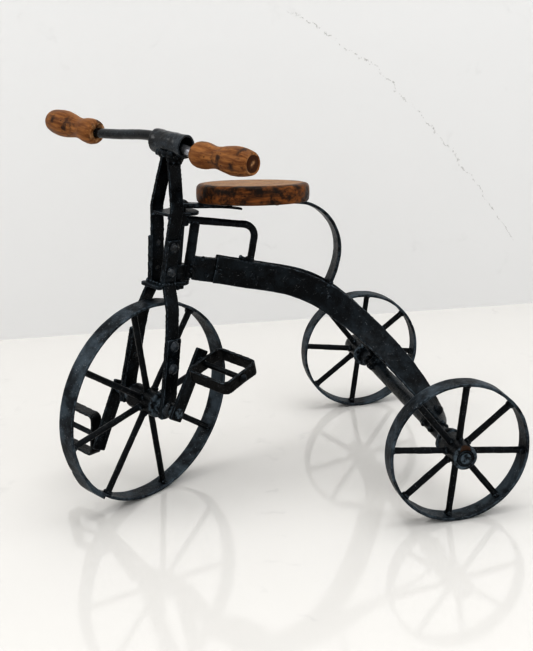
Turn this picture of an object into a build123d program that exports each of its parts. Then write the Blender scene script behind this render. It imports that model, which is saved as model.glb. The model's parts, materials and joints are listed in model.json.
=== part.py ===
from build123d import *
import os
from math import atan2, cos, degrees, hypot, radians, sin, sqrt

# Small wrought-iron tricycle with a wooden seat and wooden grips.
# Millimetres, +Z up, front of the tricycle towards -Y, rider's left towards +X, floor at Z = 0.
# The tricycle is drawn standing with its front wheel turned to the rider's left.

# ---- layout -------------------------------------------------------------------------------
REAR_AXLE_Y = 148.63         # rear axle line, behind the middle of the overall box
REAR_RADIUS = 70.0
REAR_TRACK_HALF = 155.4
PIN_FLOOR_Y = REAR_AXLE_Y - 266.6    # where the steering axis meets the floor
RAKE = 7.9                   # lean of the steering axis, top to the rear, degrees
STEER = 35.0                 # rest turn of the fork to the left, degrees
FRONT_RADIUS = 103.7
FRONT_OFFSET = -29.5         # front axle ahead of the steering axis

# ---- stock --------------------------------------------------------------------------------
BAR_THICK = 3.2
RIM_THICK = 3.0
SPOKE_RADIUS = 3.2
SPOKE_CLEAR = 4 * SPOKE_RADIUS       # length of the cutter that trims a spoke to rim and hub
WIDE = 100.0                 # wider than anything a cutter has to pass through
RUNNING = 0.08               # radial clearance of turning fits
GAP = 0.5                    # end play between turning parts

# ---- wheels -------------------------------------------------------------------------------
FRONT_RIM_WIDTH = 18.9
REAR_RIM_WIDTH = 18.7
SPOKE_COUNT = 8
FRONT_SPOKE_PHASE = -16.6    # first spoke from straight up, towards the rear
REAR_SPOKE_PHASE = {"left": 7.5, "right": 9.1}
FRONT_HUB_RADIUS = 13.0
FRONT_HUB_HALF = 18.5
FRONT_SPOKE_SHIFT = 2.5      # spokes stand a little to the left of the rim's middle
FRONT_AXLE_RADIUS = 5.0
REAR_HUB_RADIUS = 12.0
REAR_HUB_INNER = 136.0
REAR_HUB_OUTER = 175.5
REAR_AXLE_RADIUS = 5.2
REAR_AXLE_HALF = 177.0
END_WASHER_RADIUS = 7.6
END_WASHER_THICK = 2.4
END_RECESS_RADIUS = 8.2
BEAM_RADIUS = 7.6
COLLAR_RADIUS = 13.6
COLLAR_WIDTH = 4.6

# ---- steering -----------------------------------------------------------------------------
PIN_RADIUS = 3.6
PIN_TOP = 300.2
PIN_BOTTOM = 213.0
PIN_HEAD_RADIUS = 6.2
PIN_HEAD_HEIGHT = 4.6
FORK_Y = -21.5               # middle of the fork bars, ahead of the steering axis
FORK_BAR_WIDTH = 16.0
YOKE_UPPER_Z = (291.0, 294.0)
YOKE_UPPER_RADIUS = 15.5
YOKE_UPPER_SHIFT = 1.0       # its round end sits a little behind the pin
YOKE_LOWER_Z = (220.0, 223.6)
YOKE_LOWER_RADIUS = 12.0
YOKE_LIP_WIDTH = 27.0        # the lower plate shows in front of the bars
YOKE_LIP_DEPTH = 8.0
YOKE_LIP_CORNER = 3.5
YOKE_SIDE_PLAY = 0.9
EYE_UPPER_Z = (279.0, 290.3)
EYE_LOWER_Z = (224.2, 240.0)
EYE_RADIUS = 7.0
EYE_BLOCK = (8.0, 12.0)      # block behind the lower eye, across and to the rear
PIN_NUT_Z = (215.0, 219.4)
PIN_NUT_FLATS = 13.0

# ---- fork bars, inner face seen from the front (across, along the steering axis) -----------
UPPER_BAR_LINE = [(1.4, 351.0), (7.2, 325.0), (12.4, 298.0), (8.3, 264.0), (5.4, 224.0)]
LOWER_BAR_LINE = [(18.6, 199.0), (22.2, 170.0), (25.6, 118.0), (25.6, 92.0)]
LOWER_BAR_TOP = 268.5
BAR_KINK_Z = 224.0           # below here the bars lean forward to the axle
BAR_TRIM = 5.0               # the side outline stands this far over the bar tops
LEAN_STEP = 4.0              # a bar's lean is read this far above and below a rivet
DOUBLER_TOP = 172.0
FORK_FOOT = 9.5              # bar ends below the front axle
DOUBLER_SPREAD = 0.8         # the doubler is this much wider on each edge
RIVET_HEAD_RADIUS = 6.0
RIVET_HEAD_HEIGHT = 3.8
RIVET_SHANK_RADIUS = 3.0
BLADE_RIVET_Z = (261.0, 236.5)
DOUBLER_RIVET_Z = (165.5, 142.5)
BOSS_RADIUS = 8.5
BOSS_HEIGHT = 6.5

# ---- handlebar ----------------------------------------------------------------------------
CLAMP_Z = 359.5
CLAMP_RADIUS = 11.2
CLAMP_BORE = 8.7
CLAMP_HALF = 20.5
BAR_RADIUS = 5.0
# The bent bar's middle line (across, along the steering axis). It sits slid to the rider's right
# and wedged a little aslant in its clamp.
BAR_LINE = [(-172.0, 355.7), (-108.0, 353.5), (-64.0, 358.6), (-22.0, 362.5), (0.0, 359.6), (20.5, 356.1),
            (34.0, 354.9), (98.0, 356.9)]
GRIP_BASE = {"left": (34.0, 354.9), "right": (-108.0, 353.5)}
GRIP_RISE = 2.0              # the grips rise a little to their outer ends, degrees
GRIP_LENGTH = 72.0
GRIP_PROFILE = [(0.0, 9.8), (3.0, 11.9), (11.0, 12.7), (27.0, 10.1), (49.0, 13.6), (64.0, 12.3), (72.0, 9.4)]

# ---- drive --------------------------------------------------------------------------------
CRANK_ANGLE = {"left": 24.0, "right": 199.0}     # from straight up, towards the rear
CRANK_RADIUS = 55.0
CRANK_INNER = 42.6
CRANK_WIDTH = 16.2
CRANK_TAIL = 8.0
CRANK_NOSE = 12.5
SPINDLE_RADIUS = 3.1
PEDAL_INNER = 52.5
PEDAL_OUTER = 105.0
PEDAL_LENGTH = 46.0
PEDAL_BAND_HEIGHT = 13.2
PEDAL_BAND_THICK = 2.8
PEDAL_CORNER = 7.0
PEDAL_PITCH = {"left": 21.0, "right": 93.0}
SPINDLE_HEAD_RADIUS = 5.2
SPINDLE_HEAD_HEIGHT = 3.6
CRANK_CORNER = 1.0
AXLE_STANDOUT = 1.0          # the front axle shows this much outside the cranks

# ---- frame, points measured back from the rear axle line ------------------------------------
HEAD_ROD_RADIUS = 4.8
HEAD_ROD = [(-214.0, 279.5), (-226.0, 222.5)]
BRACE_RADIUS = 3.7
BRACE_BEND = 12.0
BRACE = [(-227.5, 282.0), (-153.2, 269.3), (-162.6, 226.0)]
TONGUE_THICK = 6.0
TONGUE = [(-222.5, 220.5), (-219.0, 244.0), (-172.5, 235.3), (-150.0, 230.3), (-150.0, 203.0), (-173.5, 208.6)]
STRAP_WIDTH = 27.5
# Left backbone strap: (out, back, up, direction across its width).
BACKBONE_STRAP = [
    (4.6, -198.0, 229.0, (0, 0.05, 1)),
    (4.6, -174.0, 222.6, (0, 0.05, 1)),
    (4.8, -145.0, 215.5, (0, 0.12, 1)),
    (7.6, -114.0, 206.0, (0, 0.25, 0.97)),
    (13.5, -91.0, 194.0, (-0.06, 0.5, 0.85)),
    (23.5, -69.0, 177.0, (-0.22, 0.7, 0.68)),
    (40.5, -46.5, 155.5, (-0.40, 0.78, 0.48)),
    (57.5, -30.5, 136.5, (-0.50, 0.78, 0.38)),
    (72.5, -17.5, 118.5, (-0.56, 0.78, 0.25)),
    (85.0, -6.5, 101.5, (-0.68, 0.72, 0.10)),
    (92.5, 3.5, 85.5, (-0.84, 0.50, 0.10)),
    (95.5, 11.6, 70.0, (-0.93, 0.33, 0.10)),
]
BACKBONE_RIVET_RADIUS = 2.6
BACKBONE_RIVETS = [(-194.0, 227.0, 6.4), (-160.2, 218.5, 6.6), (-90.5, 194.0, 14.8)]    # back, up, half length
STRAP_BOLT_HEAD = (5.6, 5.0)
STRAP_BOLT_SHANK = (3.0, 12.0)
BLOCK = [(-101.0, 206.0), (-80.0, 201.0), (-80.0, 185.0), (-101.0, 190.0)]
BLOCK_HALF = 20.0            # cut back to the straps' inner faces

# ---- seat ---------------------------------------------------------------------------------
SEAT_LEAN = 6.5              # the seat leans to the rider's right, degrees
SEAT_CENTRE = (0.0, REAR_AXLE_Y - 155.0, 312.3)
SEAT_RADIUS = 55.8
# Half outline of the seat: (radius, height under its top).
SEAT_PROFILE = [(0, -18.6), (53.6, -18.6), (55.4, -16.8), (55.8, -9.0), (55.2, -3.0), (53.0, 0), (0, 0)]
SEAT_FALL = 3.1              # the seat falls to the rear with the strap below it, degrees
SEAT_STRAP_WIDTH = 20.0
# Seat strap from the pin to the block: (back, up, share of the seat's lean).
SEAT_STRAP = [
    (-229.5, 297.0, 1.0), (-218.0, 296.0, 1.0), (-190.0, 294.2, 1.0), (-155.0, 292.6, 1.0),
    (-120.0, 290.6, 1.0), (-103.0, 288.0, 1.0), (-90.0, 281.6, 0.9), (-79.0, 270.5, 0.8),
    (-71.8, 256.0, 0.6), (-69.6, 241.0, 0.4), (-71.6, 226.0, 0.2), (-76.0, 212.5, 0.0), (-80.5, 203.5, 0.0),
]
LEAF_WIDTH = 14.0
LEAF_THICK = 2.0
LEAF = [(-227.0, 294.2), (-205.0, 292.4), (-185.0, 290.5), (-168.0, 287.4)]
SCREW_HEAD = (4.0, 2.4)
SCREW_SHANK = (2.0, 13.0)
SCREW_OFFSETS = (-24.0, 24.0)
STRAP_UNDER_SEAT = 292.6     # height of the strap's middle under the middle of the seat
STRAP_SLOPE = 0.055          # fall of the seat strap to the rear, under the seat

PIN = Plane(
    origin=(0, PIN_FLOOR_Y, 0),
    x_dir=(cos(radians(STEER)), sin(radians(STEER)) * cos(radians(RAKE)), -sin(radians(STEER)) * sin(radians(RAKE))),
    z_dir=(0, sin(radians(RAKE)), cos(radians(RAKE))),
)
STRAIGHT_PIN = Plane(origin=(0, PIN_FLOOR_Y, 0), x_dir=(1, 0, 0), z_dir=(0, sin(radians(RAKE)), cos(radians(RAKE))))


def front_axle_height():
    """Height of the front axle along the steering axis, so that the wheel just touches the floor."""
    tilt = sin(radians(STEER)) * sin(radians(RAKE))
    rise = FRONT_RADIUS * sqrt(1 - tilt * tilt) + FRONT_RIM_WIDTH / 2 * tilt
    return (rise + FRONT_OFFSET * cos(radians(STEER)) * sin(radians(RAKE))) / cos(radians(RAKE))


FRONT_AXLE_Z = front_axle_height()
FRONT_AXLE = PIN.location * Location((0, FRONT_OFFSET, FRONT_AXLE_Z))


def save(part, name, place=None):
    """Put a finished piece in its place and write it out under its own name."""
    if place is not None:
        part = place.location * part
    part.label = name
    export_step(part, f"parts/{name}.step")


def mitred(line, distance):
    """The same polyline moved sideways by a distance, corners kept sharp."""
    moved = []
    for i, (x, z) in enumerate(line):
        before = line[max(i - 1, 0)]
        after = line[min(i + 1, len(line) - 1)]
        normals = []
        for a, b in ((before, (x, z)), ((x, z), after)):
            run = hypot(b[0] - a[0], b[1] - a[1])
            if run > 0:
                normals.append(((a[1] - b[1]) / run, (b[0] - a[0]) / run))
        nx = sum(n[0] for n in normals) / len(normals)
        nz = sum(n[1] for n in normals) / len(normals)
        scale = distance / (nx * nx + nz * nz)
        moved.append((x + nx * scale, z + nz * scale))
    return moved


def ring(outer, bore, length):
    """A tube round the X axis, centred on the origin."""
    with BuildPart() as tube:
        with BuildSketch(Plane.YZ.offset(-length / 2)):
            Circle(outer)
            Circle(bore, mode=Mode.SUBTRACT)
        extrude(amount=length)
    return tube.part


def rod_across(radius, half):
    """A round rod along the X axis, centred on the origin."""
    with BuildPart() as rod:
        with BuildSketch(Plane.YZ.offset(-half)):
            Circle(radius)
        extrude(amount=2 * half)
    return rod.part


def upright(radius, height):
    """A round rod standing on the origin."""
    with BuildPart() as rod:
        with BuildSketch(Plane.XY):
            Circle(radius)
        extrude(amount=height)
    return rod.part


def largest(part):
    """The biggest solid of a cut piece."""
    return max(part.solids(), key=lambda solid: solid.volume)


def place_side(part, sign):
    """The part itself on the left, its mirror image on the right."""
    return part if sign > 0 else part.mirror(Plane.YZ)


def dome_pin(head_radius, head_height, shank_radius, shank_length):
    """A rivet or bolt along Z: round head above Z = 0, shank below."""
    ball = (head_radius * head_radius + head_height * head_height) / (2 * head_height)
    half_angle = atan2(head_radius, ball - head_height) / 2
    side = (ball * sin(half_angle), head_height - ball + ball * cos(half_angle))
    top = (0, head_height)
    with BuildPart() as pin:
        with BuildSketch(Plane.XZ):
            with BuildLine():
                ThreePointArc((head_radius, 0), side, top)
                Polyline(top, (0, -shank_length), (shank_radius, -shank_length), (shank_radius, 0), (head_radius, 0))
            make_face()
        revolve(axis=Axis.Z)
    return pin.part


def band(stations, width, thick):
    """A flat bar lofted through stations given as (centre, across, along)."""
    with BuildPart() as strip:
        for centre, across, along in stations:
            with BuildSketch(Plane(origin=centre, x_dir=across, z_dir=along)):
                Rectangle(width, thick)
        loft()
    return strip.part


def group(solids):
    """Identical pieces kept as separate solids of one node."""
    return Compound(children=[solid for part in solids for solid in part.solids()])


def rear_point(x, back, z):
    """A frame point measured back from the rear axle line."""
    return (x, REAR_AXLE_Y + back, z)


# ---- wheels -------------------------------------------------------------------------------
def rim(radius, width):
    return ring(radius, radius - RIM_THICK, width)


def spokes(radius, hub_radius, phase):
    """Round rods from the hub to the inside of the rim, each its own solid."""
    rods = []
    for i in range(SPOKE_COUNT):
        with BuildPart() as rod:
            with BuildSketch(Plane.XY):
                Circle(SPOKE_RADIUS)
            extrude(amount=radius)
            add(ring(radius - RIM_THICK, hub_radius, SPOKE_CLEAR), mode=Mode.INTERSECT)
        rods.append(Rot(-(phase + i * 360 / SPOKE_COUNT), 0, 0) * rod.part)
    return rods


def rear_wheel(side, sign):
    centre = Plane(origin=(sign * REAR_TRACK_HALF, REAR_AXLE_Y, REAR_RADIUS))
    save(rim(REAR_RADIUS, REAR_RIM_WIDTH), f"rear_rim_{side}", centre)
    rods = spokes(REAR_RADIUS, REAR_HUB_RADIUS, REAR_SPOKE_PHASE[side])
    save(group([centre.location * rod for rod in rods]), f"rear_spokes_{side}")
    with BuildPart() as hub:
        with BuildSketch(Plane.YZ.offset(REAR_HUB_INNER)):
            Circle(REAR_HUB_RADIUS)
            Circle(REAR_AXLE_RADIUS + RUNNING, mode=Mode.SUBTRACT)
        extrude(amount=REAR_HUB_OUTER - REAR_HUB_INNER)
        with BuildSketch(Plane.YZ.offset(REAR_HUB_OUTER)):
            Circle(END_RECESS_RADIUS)
        extrude(amount=-(END_WASHER_THICK + GAP), mode=Mode.SUBTRACT)
    save(place_side(hub.part, sign), f"rear_hub_{side}", Plane(origin=(0, REAR_AXLE_Y, REAR_RADIUS)))


def rear_axle_set():
    """Fixed axle rod, the tube beam round it, collars inside the hubs and washers on the ends."""
    line = Plane(origin=(0, REAR_AXLE_Y, REAR_RADIUS))
    save(rod_across(REAR_AXLE_RADIUS, REAR_AXLE_HALF), "rear_axle", line)
    inner = REAR_HUB_INNER - GAP
    save(ring(BEAM_RADIUS, REAR_AXLE_RADIUS, 2 * inner), "rear_beam", line)
    collars = []
    washers = []
    for sign in (-1, 1):
        collar = ring(COLLAR_RADIUS, BEAM_RADIUS, COLLAR_WIDTH)
        collars.append(line.location * Pos(sign * (inner - COLLAR_WIDTH / 2), 0, 0) * collar)
        washer = ring(END_WASHER_RADIUS, REAR_AXLE_RADIUS, END_WASHER_THICK)
        washers.append(line.location * Pos(sign * (REAR_HUB_OUTER - END_WASHER_THICK / 2), 0, 0) * washer)
    save(group(collars), "axle_collars")
    save(group(washers), "axle_end_washers")


def front_wheel():
    """Rim, spokes, hub, axle and hub spacers of the driven wheel, in the fork's frame."""
    axle = Plane(FRONT_AXLE)
    save(rim(FRONT_RADIUS, FRONT_RIM_WIDTH), "front_rim", axle)
    shift = Pos(FRONT_SPOKE_SHIFT, 0, 0)
    rods = [axle.location * shift * s for s in spokes(FRONT_RADIUS, FRONT_HUB_RADIUS, FRONT_SPOKE_PHASE)]
    save(group(rods), "front_spokes")
    save(ring(FRONT_HUB_RADIUS, FRONT_AXLE_RADIUS, 2 * FRONT_HUB_HALF), "front_hub", axle)
    bar_inner = LOWER_BAR_LINE[-1][0]
    spacer_length = bar_inner - GAP - FRONT_HUB_HALF
    spacers = []
    for sign in (-1, 1):
        spacer = ring(FRONT_AXLE_RADIUS + RIM_THICK, FRONT_AXLE_RADIUS, spacer_length)
        spacers.append(axle.location * Pos(sign * (FRONT_HUB_HALF + spacer_length / 2), 0, 0) * spacer)
    save(group(spacers), "front_hub_spacers")
    half = CRANK_INNER + BAR_THICK + AXLE_STANDOUT
    save(rod_across(FRONT_AXLE_RADIUS, half), "front_axle", axle)


def crank(side, sign):
    """One flat crank and its pedal spindle, in the front axle's frame."""
    turned = Plane(FRONT_AXLE * Rot(-CRANK_ANGLE[side], 0, 0))
    start = CRANK_INNER if sign > 0 else -CRANK_INNER - BAR_THICK
    with BuildPart() as arm:
        with BuildSketch(Plane.YZ.offset(start)):
            with Locations((0, (CRANK_RADIUS + CRANK_NOSE - CRANK_TAIL) / 2)):
                RectangleRounded(CRANK_WIDTH, CRANK_RADIUS + CRANK_NOSE + CRANK_TAIL, CRANK_CORNER)
            Circle(FRONT_AXLE_RADIUS, mode=Mode.SUBTRACT)
            with Locations((0, CRANK_RADIUS)):
                Circle(SPINDLE_RADIUS, mode=Mode.SUBTRACT)
        extrude(amount=BAR_THICK)
    save(arm.part, f"crank_{side}", turned)
    length = PEDAL_OUTER + GAP - CRANK_INNER
    spindle = dome_pin(SPINDLE_HEAD_RADIUS, SPINDLE_HEAD_HEIGHT, SPINDLE_RADIUS, length)
    spindle = Pos(sign * (PEDAL_OUTER + GAP), 0, CRANK_RADIUS) * Rot(0, sign * 90, 0) * spindle
    save(spindle, f"pedal_spindle_{side}", turned)


def pedal(side, sign):
    """A rectangular loop of flat band turning on its spindle."""
    spindle = Rot(-CRANK_ANGLE[side], 0, 0) * Pos(0, 0, CRANK_RADIUS)
    turned = Plane(FRONT_AXLE * spindle * Rot(CRANK_ANGLE[side] + PEDAL_PITCH[side], 0, 0))
    span = PEDAL_OUTER - PEDAL_INNER
    middle = sign * (PEDAL_OUTER + PEDAL_INNER) / 2
    with BuildPart() as loop:
        with BuildSketch(Plane.XY.offset(-PEDAL_BAND_HEIGHT / 2)):
            with Locations((middle, 0)):
                RectangleRounded(span, PEDAL_LENGTH, PEDAL_CORNER)
                inner = (span - 2 * PEDAL_BAND_THICK, PEDAL_LENGTH - 2 * PEDAL_BAND_THICK)
                RectangleRounded(*inner, PEDAL_CORNER - PEDAL_BAND_THICK, mode=Mode.SUBTRACT)
        extrude(amount=PEDAL_BAND_HEIGHT)
        with BuildSketch(Plane.YZ.offset(middle - span)):
            Circle(SPINDLE_RADIUS + RUNNING)
        extrude(amount=2 * span, mode=Mode.SUBTRACT)
    save(loop.part, f"pedal_band_{side}", turned)


# ---- fork ---------------------------------------------------------------------------------
def strip(inner_line, width):
    """A bent flat bar: its inner face follows a line seen from the front."""
    outer_line = mitred(inner_line, BAR_THICK)
    with BuildPart() as bar:
        with BuildSketch(Plane.XZ):
            with BuildLine():
                Polyline(*inner_line, *reversed(outer_line), close=True)
            make_face()
        extrude(amount=width, both=True)
    return bar.part


def side_outline(half_width):
    """The bars' outline seen from the side: upright, then leaning forward to the axle."""
    foot = FRONT_AXLE_Z - FORK_FOOT
    top = UPPER_BAR_LINE[0][1] + BAR_TRIM
    with BuildPart() as slab:
        with BuildSketch(Plane.YZ):
            with BuildLine():
                Polyline(
                    (FORK_Y - half_width, top), (FORK_Y + half_width, top), (FORK_Y + half_width, BAR_KINK_Z),
                    (FRONT_OFFSET + half_width, FRONT_AXLE_Z), (FRONT_OFFSET + half_width, foot),
                    (FRONT_OFFSET - half_width, foot), (FRONT_OFFSET - half_width, FRONT_AXLE_Z),
                    (FORK_Y - half_width, BAR_KINK_Z), close=True,
                )
            make_face()
        extrude(amount=WIDE, both=True)
    return slab.part


def point_at(line, height):
    """Where a front-view line reaches a height."""
    for (x0, z0), (x1, z1) in zip(line, line[1:]):
        if z1 <= height <= z0:
            return (x0 + (x1 - x0) * (z0 - height) / (z0 - z1), height)
    return line[-1]


def lower_bar_line():
    """Inner face of the lower bar: flat on the upper bar, then out round the wheel."""
    contact = mitred(UPPER_BAR_LINE, BAR_THICK)
    return [point_at(contact, LOWER_BAR_TOP), contact[3], contact[4], *LOWER_BAR_LINE]


def doubler_line():
    """Inner face of the doubler plate: the lower bar's outer face below its top edge."""
    outer = mitred(lower_bar_line(), BAR_THICK)
    return [point_at(outer, DOUBLER_TOP), *[p for p in outer if p[1] < DOUBLER_TOP]]


def axle_bore():
    """A cutter across the fork for the turning front axle."""
    return Pos(0, FRONT_OFFSET, FRONT_AXLE_Z) * rod_across(FRONT_AXLE_RADIUS + RUNNING, WIDE)


def rivet_y(height):
    """Middle of the bars' width at a height."""
    if height >= BAR_KINK_Z:
        return FORK_Y
    share = (BAR_KINK_Z - height) / (BAR_KINK_Z - FRONT_AXLE_Z)
    return FORK_Y + (FRONT_OFFSET - FORK_Y) * min(share, 1.0)


def fork_side(side, sign):
    """Upper bar, lower bar, doubler plate, their rivets and the axle boss of one side."""
    half = FORK_BAR_WIDTH / 2
    lower_line = lower_bar_line()
    plate_line = doubler_line()
    blade_rivets = []
    for z in BLADE_RIVET_Z:
        blade_rivets.append(rivet(plate_outer(lower_line, z), z, 2 * BAR_THICK))
    plate_rivets = []
    for z in DOUBLER_RIVET_Z:
        plate_rivets.append(rivet(plate_outer(plate_line, z), z, 2 * BAR_THICK))
    with BuildPart() as upper:
        add(strip(UPPER_BAR_LINE, WIDE))
        add(side_outline(half), mode=Mode.INTERSECT)
        for piece in blade_rivets:
            add(piece, mode=Mode.SUBTRACT)
        add(clamp_blank(), mode=Mode.SUBTRACT)
    save(place_side(upper.part, sign), f"fork_upper_bar_{side}", PIN)
    with BuildPart() as lower:
        add(strip(lower_line, WIDE))
        add(side_outline(half), mode=Mode.INTERSECT)
        for piece in blade_rivets + plate_rivets:
            add(piece, mode=Mode.SUBTRACT)
        add(axle_bore(), mode=Mode.SUBTRACT)
    save(place_side(lower.part, sign), f"fork_lower_bar_{side}", PIN)
    with BuildPart() as plate:
        add(strip(plate_line, WIDE))
        add(side_outline(half + DOUBLER_SPREAD), mode=Mode.INTERSECT)
        for piece in plate_rivets:
            add(piece, mode=Mode.SUBTRACT)
        add(axle_bore(), mode=Mode.SUBTRACT)
    save(place_side(plate.part, sign), f"fork_doubler_{side}", PIN)
    for rivets, name in ((blade_rivets, "blade_rivets"), (plate_rivets, "doubler_rivets")):
        placed = [PIN.location * place_side(piece, sign) for piece in rivets]
        save(group(placed), f"{name}_{side}")
    face = plate_line[-1][0] + BAR_THICK
    boss = dome_pin(BOSS_RADIUS, BOSS_HEIGHT, FRONT_AXLE_RADIUS, BAR_THICK)
    with BuildPart() as cap:
        add(Pos(face, FRONT_OFFSET, FRONT_AXLE_Z) * Rot(0, 90, 0) * boss)
        add(axle_bore(), mode=Mode.SUBTRACT)
    save(place_side(cap.part, sign), f"axle_boss_{side}", PIN)


def plate_outer(inner_line, height):
    """Outer face point and lean of a bar at a height."""
    outer = mitred(inner_line, BAR_THICK)
    x, _ = point_at(outer, height)
    above, _ = point_at(outer, height + LEAN_STEP)
    below, _ = point_at(outer, height - LEAN_STEP)
    return x, degrees(atan2(above - below, 2 * LEAN_STEP))


def rivet(face, height, grip):
    """A round-headed rivet standing square on a bar's outer face."""
    x, lean = face
    pin = dome_pin(RIVET_HEAD_RADIUS, RIVET_HEAD_HEIGHT, RIVET_SHANK_RADIUS, grip)
    return Pos(x, rivet_y(height), height) * Rot(0, 90 + lean, 0) * pin


def clamp_blank():
    """The clamp as a solid bar, to cut the fork bars round it."""
    return Pos(0, FORK_Y, CLAMP_Z) * rod_across(CLAMP_RADIUS, CLAMP_HALF)


def bent_bar():
    """The handlebar: a round rod bent by hand."""
    with BuildPart() as bar:
        with BuildLine(Plane.XZ) as path:
            Spline(*BAR_LINE)
        with BuildSketch(path.line ^ 0):
            Circle(BAR_RADIUS)
        sweep()
    return Pos(0, FORK_Y, 0) * bar.part


def turned_grip():
    """A grip turned round Z, its inner end at Z = 0."""
    inner, *middle, outer = GRIP_PROFILE
    with BuildPart() as wood:
        with BuildSketch(Plane.XZ):
            with BuildLine():
                Spline(*[(radius, along) for along, radius in middle])
                Polyline((middle[0][1], middle[0][0]), (inner[1], inner[0]), (0, inner[0]), (0, outer[0]),
                         (outer[1], outer[0]), (middle[-1][1], middle[-1][0]))
            make_face()
        revolve(axis=Axis.Z)
    return wood.part


def handlebar_set():
    """Pipe clamp on top of the fork, the bent bar through it and the two turned grips."""
    bar = bent_bar()
    with BuildPart() as clamp:
        add(clamp_blank())
        add(Pos(0, FORK_Y, CLAMP_Z) * rod_across(CLAMP_BORE, CLAMP_HALF), mode=Mode.SUBTRACT)
        add(bar, mode=Mode.SUBTRACT)
    save(clamp.part, "handlebar_clamp", PIN)
    save(bar, "handlebar", PIN)
    for side, sign in (("left", 1), ("right", -1)):
        across, along = GRIP_BASE[side]
        with BuildPart() as grip:
            add(Pos(across, FORK_Y, along) * Rot(0, sign * (90 - GRIP_RISE), 0) * turned_grip())
            add(bar, mode=Mode.SUBTRACT)
        save(largest(grip.part), f"grip_{side}", PIN)


def bar_cutters(line):
    """Both bars of a pair, as cutters for the plates between them."""
    with BuildPart() as left:
        add(strip(line, WIDE))
        add(side_outline(FORK_BAR_WIDTH / 2), mode=Mode.INTERSECT)
    return left.part, left.part.mirror(Plane.YZ)


def yoke_plates():
    """The two plates that carry the fork on the steering pin."""
    front = FORK_Y - FORK_BAR_WIDTH / 2
    half = point_at(UPPER_BAR_LINE, YOKE_UPPER_Z[0])[0]
    with BuildPart() as upper:
        with BuildSketch(Plane.XY.offset(YOKE_UPPER_Z[0])):
            with Locations((0, front / 2)):
                Rectangle(2 * half, -front)
            with Locations((0, YOKE_UPPER_SHIFT)):
                Circle(YOKE_UPPER_RADIUS)
            Circle(PIN_RADIUS + RUNNING, mode=Mode.SUBTRACT)
        extrude(amount=YOKE_UPPER_Z[1] - YOKE_UPPER_Z[0])
        for cutter in bar_cutters(UPPER_BAR_LINE):
            add(cutter, mode=Mode.SUBTRACT)
    save(largest(upper.part), "yoke_plate_upper", PIN)
    half = point_at(lower_bar_line(), YOKE_LOWER_Z[1])[0] - YOKE_SIDE_PLAY
    with BuildPart() as lower:
        with BuildSketch(Plane.XY.offset(YOKE_LOWER_Z[0])):
            with Locations((0, front - YOKE_LIP_DEPTH / 2)):
                RectangleRounded(YOKE_LIP_WIDTH, YOKE_LIP_DEPTH, YOKE_LIP_CORNER)
            with Locations((0, (front - YOKE_LIP_DEPTH / 2) / 2)):
                Rectangle(2 * half, YOKE_LIP_DEPTH / 2 - front)
            Circle(YOKE_LOWER_RADIUS)
            Circle(PIN_RADIUS + RUNNING, mode=Mode.SUBTRACT)
        extrude(amount=YOKE_LOWER_Z[1] - YOKE_LOWER_Z[0])
        for cutter in bar_cutters(lower_bar_line()):
            add(cutter, mode=Mode.SUBTRACT)
    save(largest(lower.part), "yoke_plate_lower", PIN)


# ---- frame --------------------------------------------------------------------------------
def steering_pin_set():
    """The fixed pin with its round head, the nut under the fork and the upper eye."""
    pin = dome_pin(PIN_HEAD_RADIUS, PIN_HEAD_HEIGHT, PIN_RADIUS, PIN_TOP - PIN_BOTTOM)
    save(Pos(0, 0, PIN_TOP) * pin, "steering_pin", STRAIGHT_PIN)
    with BuildPart() as nut:
        with BuildSketch(Plane.XY.offset(PIN_NUT_Z[0])):
            RegularPolygon(PIN_NUT_FLATS / 2, 6, major_radius=False)
            Circle(PIN_RADIUS, mode=Mode.SUBTRACT)
        extrude(amount=PIN_NUT_Z[1] - PIN_NUT_Z[0])
    save(nut.part, "steering_pin_nut", STRAIGHT_PIN)
    with BuildPart() as eye:
        with BuildSketch(Plane.XY.offset(EYE_UPPER_Z[0])):
            Circle(EYE_RADIUS)
            Circle(PIN_RADIUS, mode=Mode.SUBTRACT)
        extrude(amount=EYE_UPPER_Z[1] - EYE_UPPER_Z[0])
    save(eye.part, "head_eye", STRAIGHT_PIN)


def rod_along(points, bend, radius):
    """A round rod in the tricycle's middle plane through points given as (back, up)."""
    with BuildPart() as rod:
        with BuildLine() as path:
            corners = [rear_point(0, back, up) for back, up in points]
            if bend:
                FilletPolyline(*corners, radius=bend)
            else:
                Polyline(*corners)
        with BuildSketch(path.line ^ 0):
            Circle(radius)
        sweep()
    return rod.part


def brace_blank():
    return rod_along(BRACE, BRACE_BEND, BRACE_RADIUS)


def head_rod_blank():
    return rod_along(HEAD_ROD, None, HEAD_ROD_RADIUS)


def frame_rods():
    """The upright head rod and the brace rod looped over the backbone."""
    eye = STRAIGHT_PIN.location * Pos(0, 0, EYE_UPPER_Z[0]) * upright(EYE_RADIUS, EYE_UPPER_Z[1] - EYE_UPPER_Z[0])
    with BuildPart() as brace:
        add(brace_blank())
        add(eye, mode=Mode.SUBTRACT)
        for strap_part in backbone_straps():
            add(strap_part, mode=Mode.SUBTRACT)
        add(tongue_blank(), mode=Mode.SUBTRACT)
    save(largest(brace.part), "brace_rod")
    with BuildPart() as rod:
        add(head_rod_blank())
        add(eye, mode=Mode.SUBTRACT)
        add(brace_blank(), mode=Mode.SUBTRACT)
    save(largest(rod.part), "head_rod")


def side_plate(points, half):
    """A flat plate seen from the side, its corners given as (back, up)."""
    with BuildPart() as plate:
        with BuildSketch(Plane.YZ):
            with BuildLine():
                Polyline(*[(REAR_AXLE_Y + back, up) for back, up in points], close=True)
            make_face()
        extrude(amount=half, both=True)
    return plate.part


def tongue_blank():
    return side_plate(TONGUE, TONGUE_THICK / 2)


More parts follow.
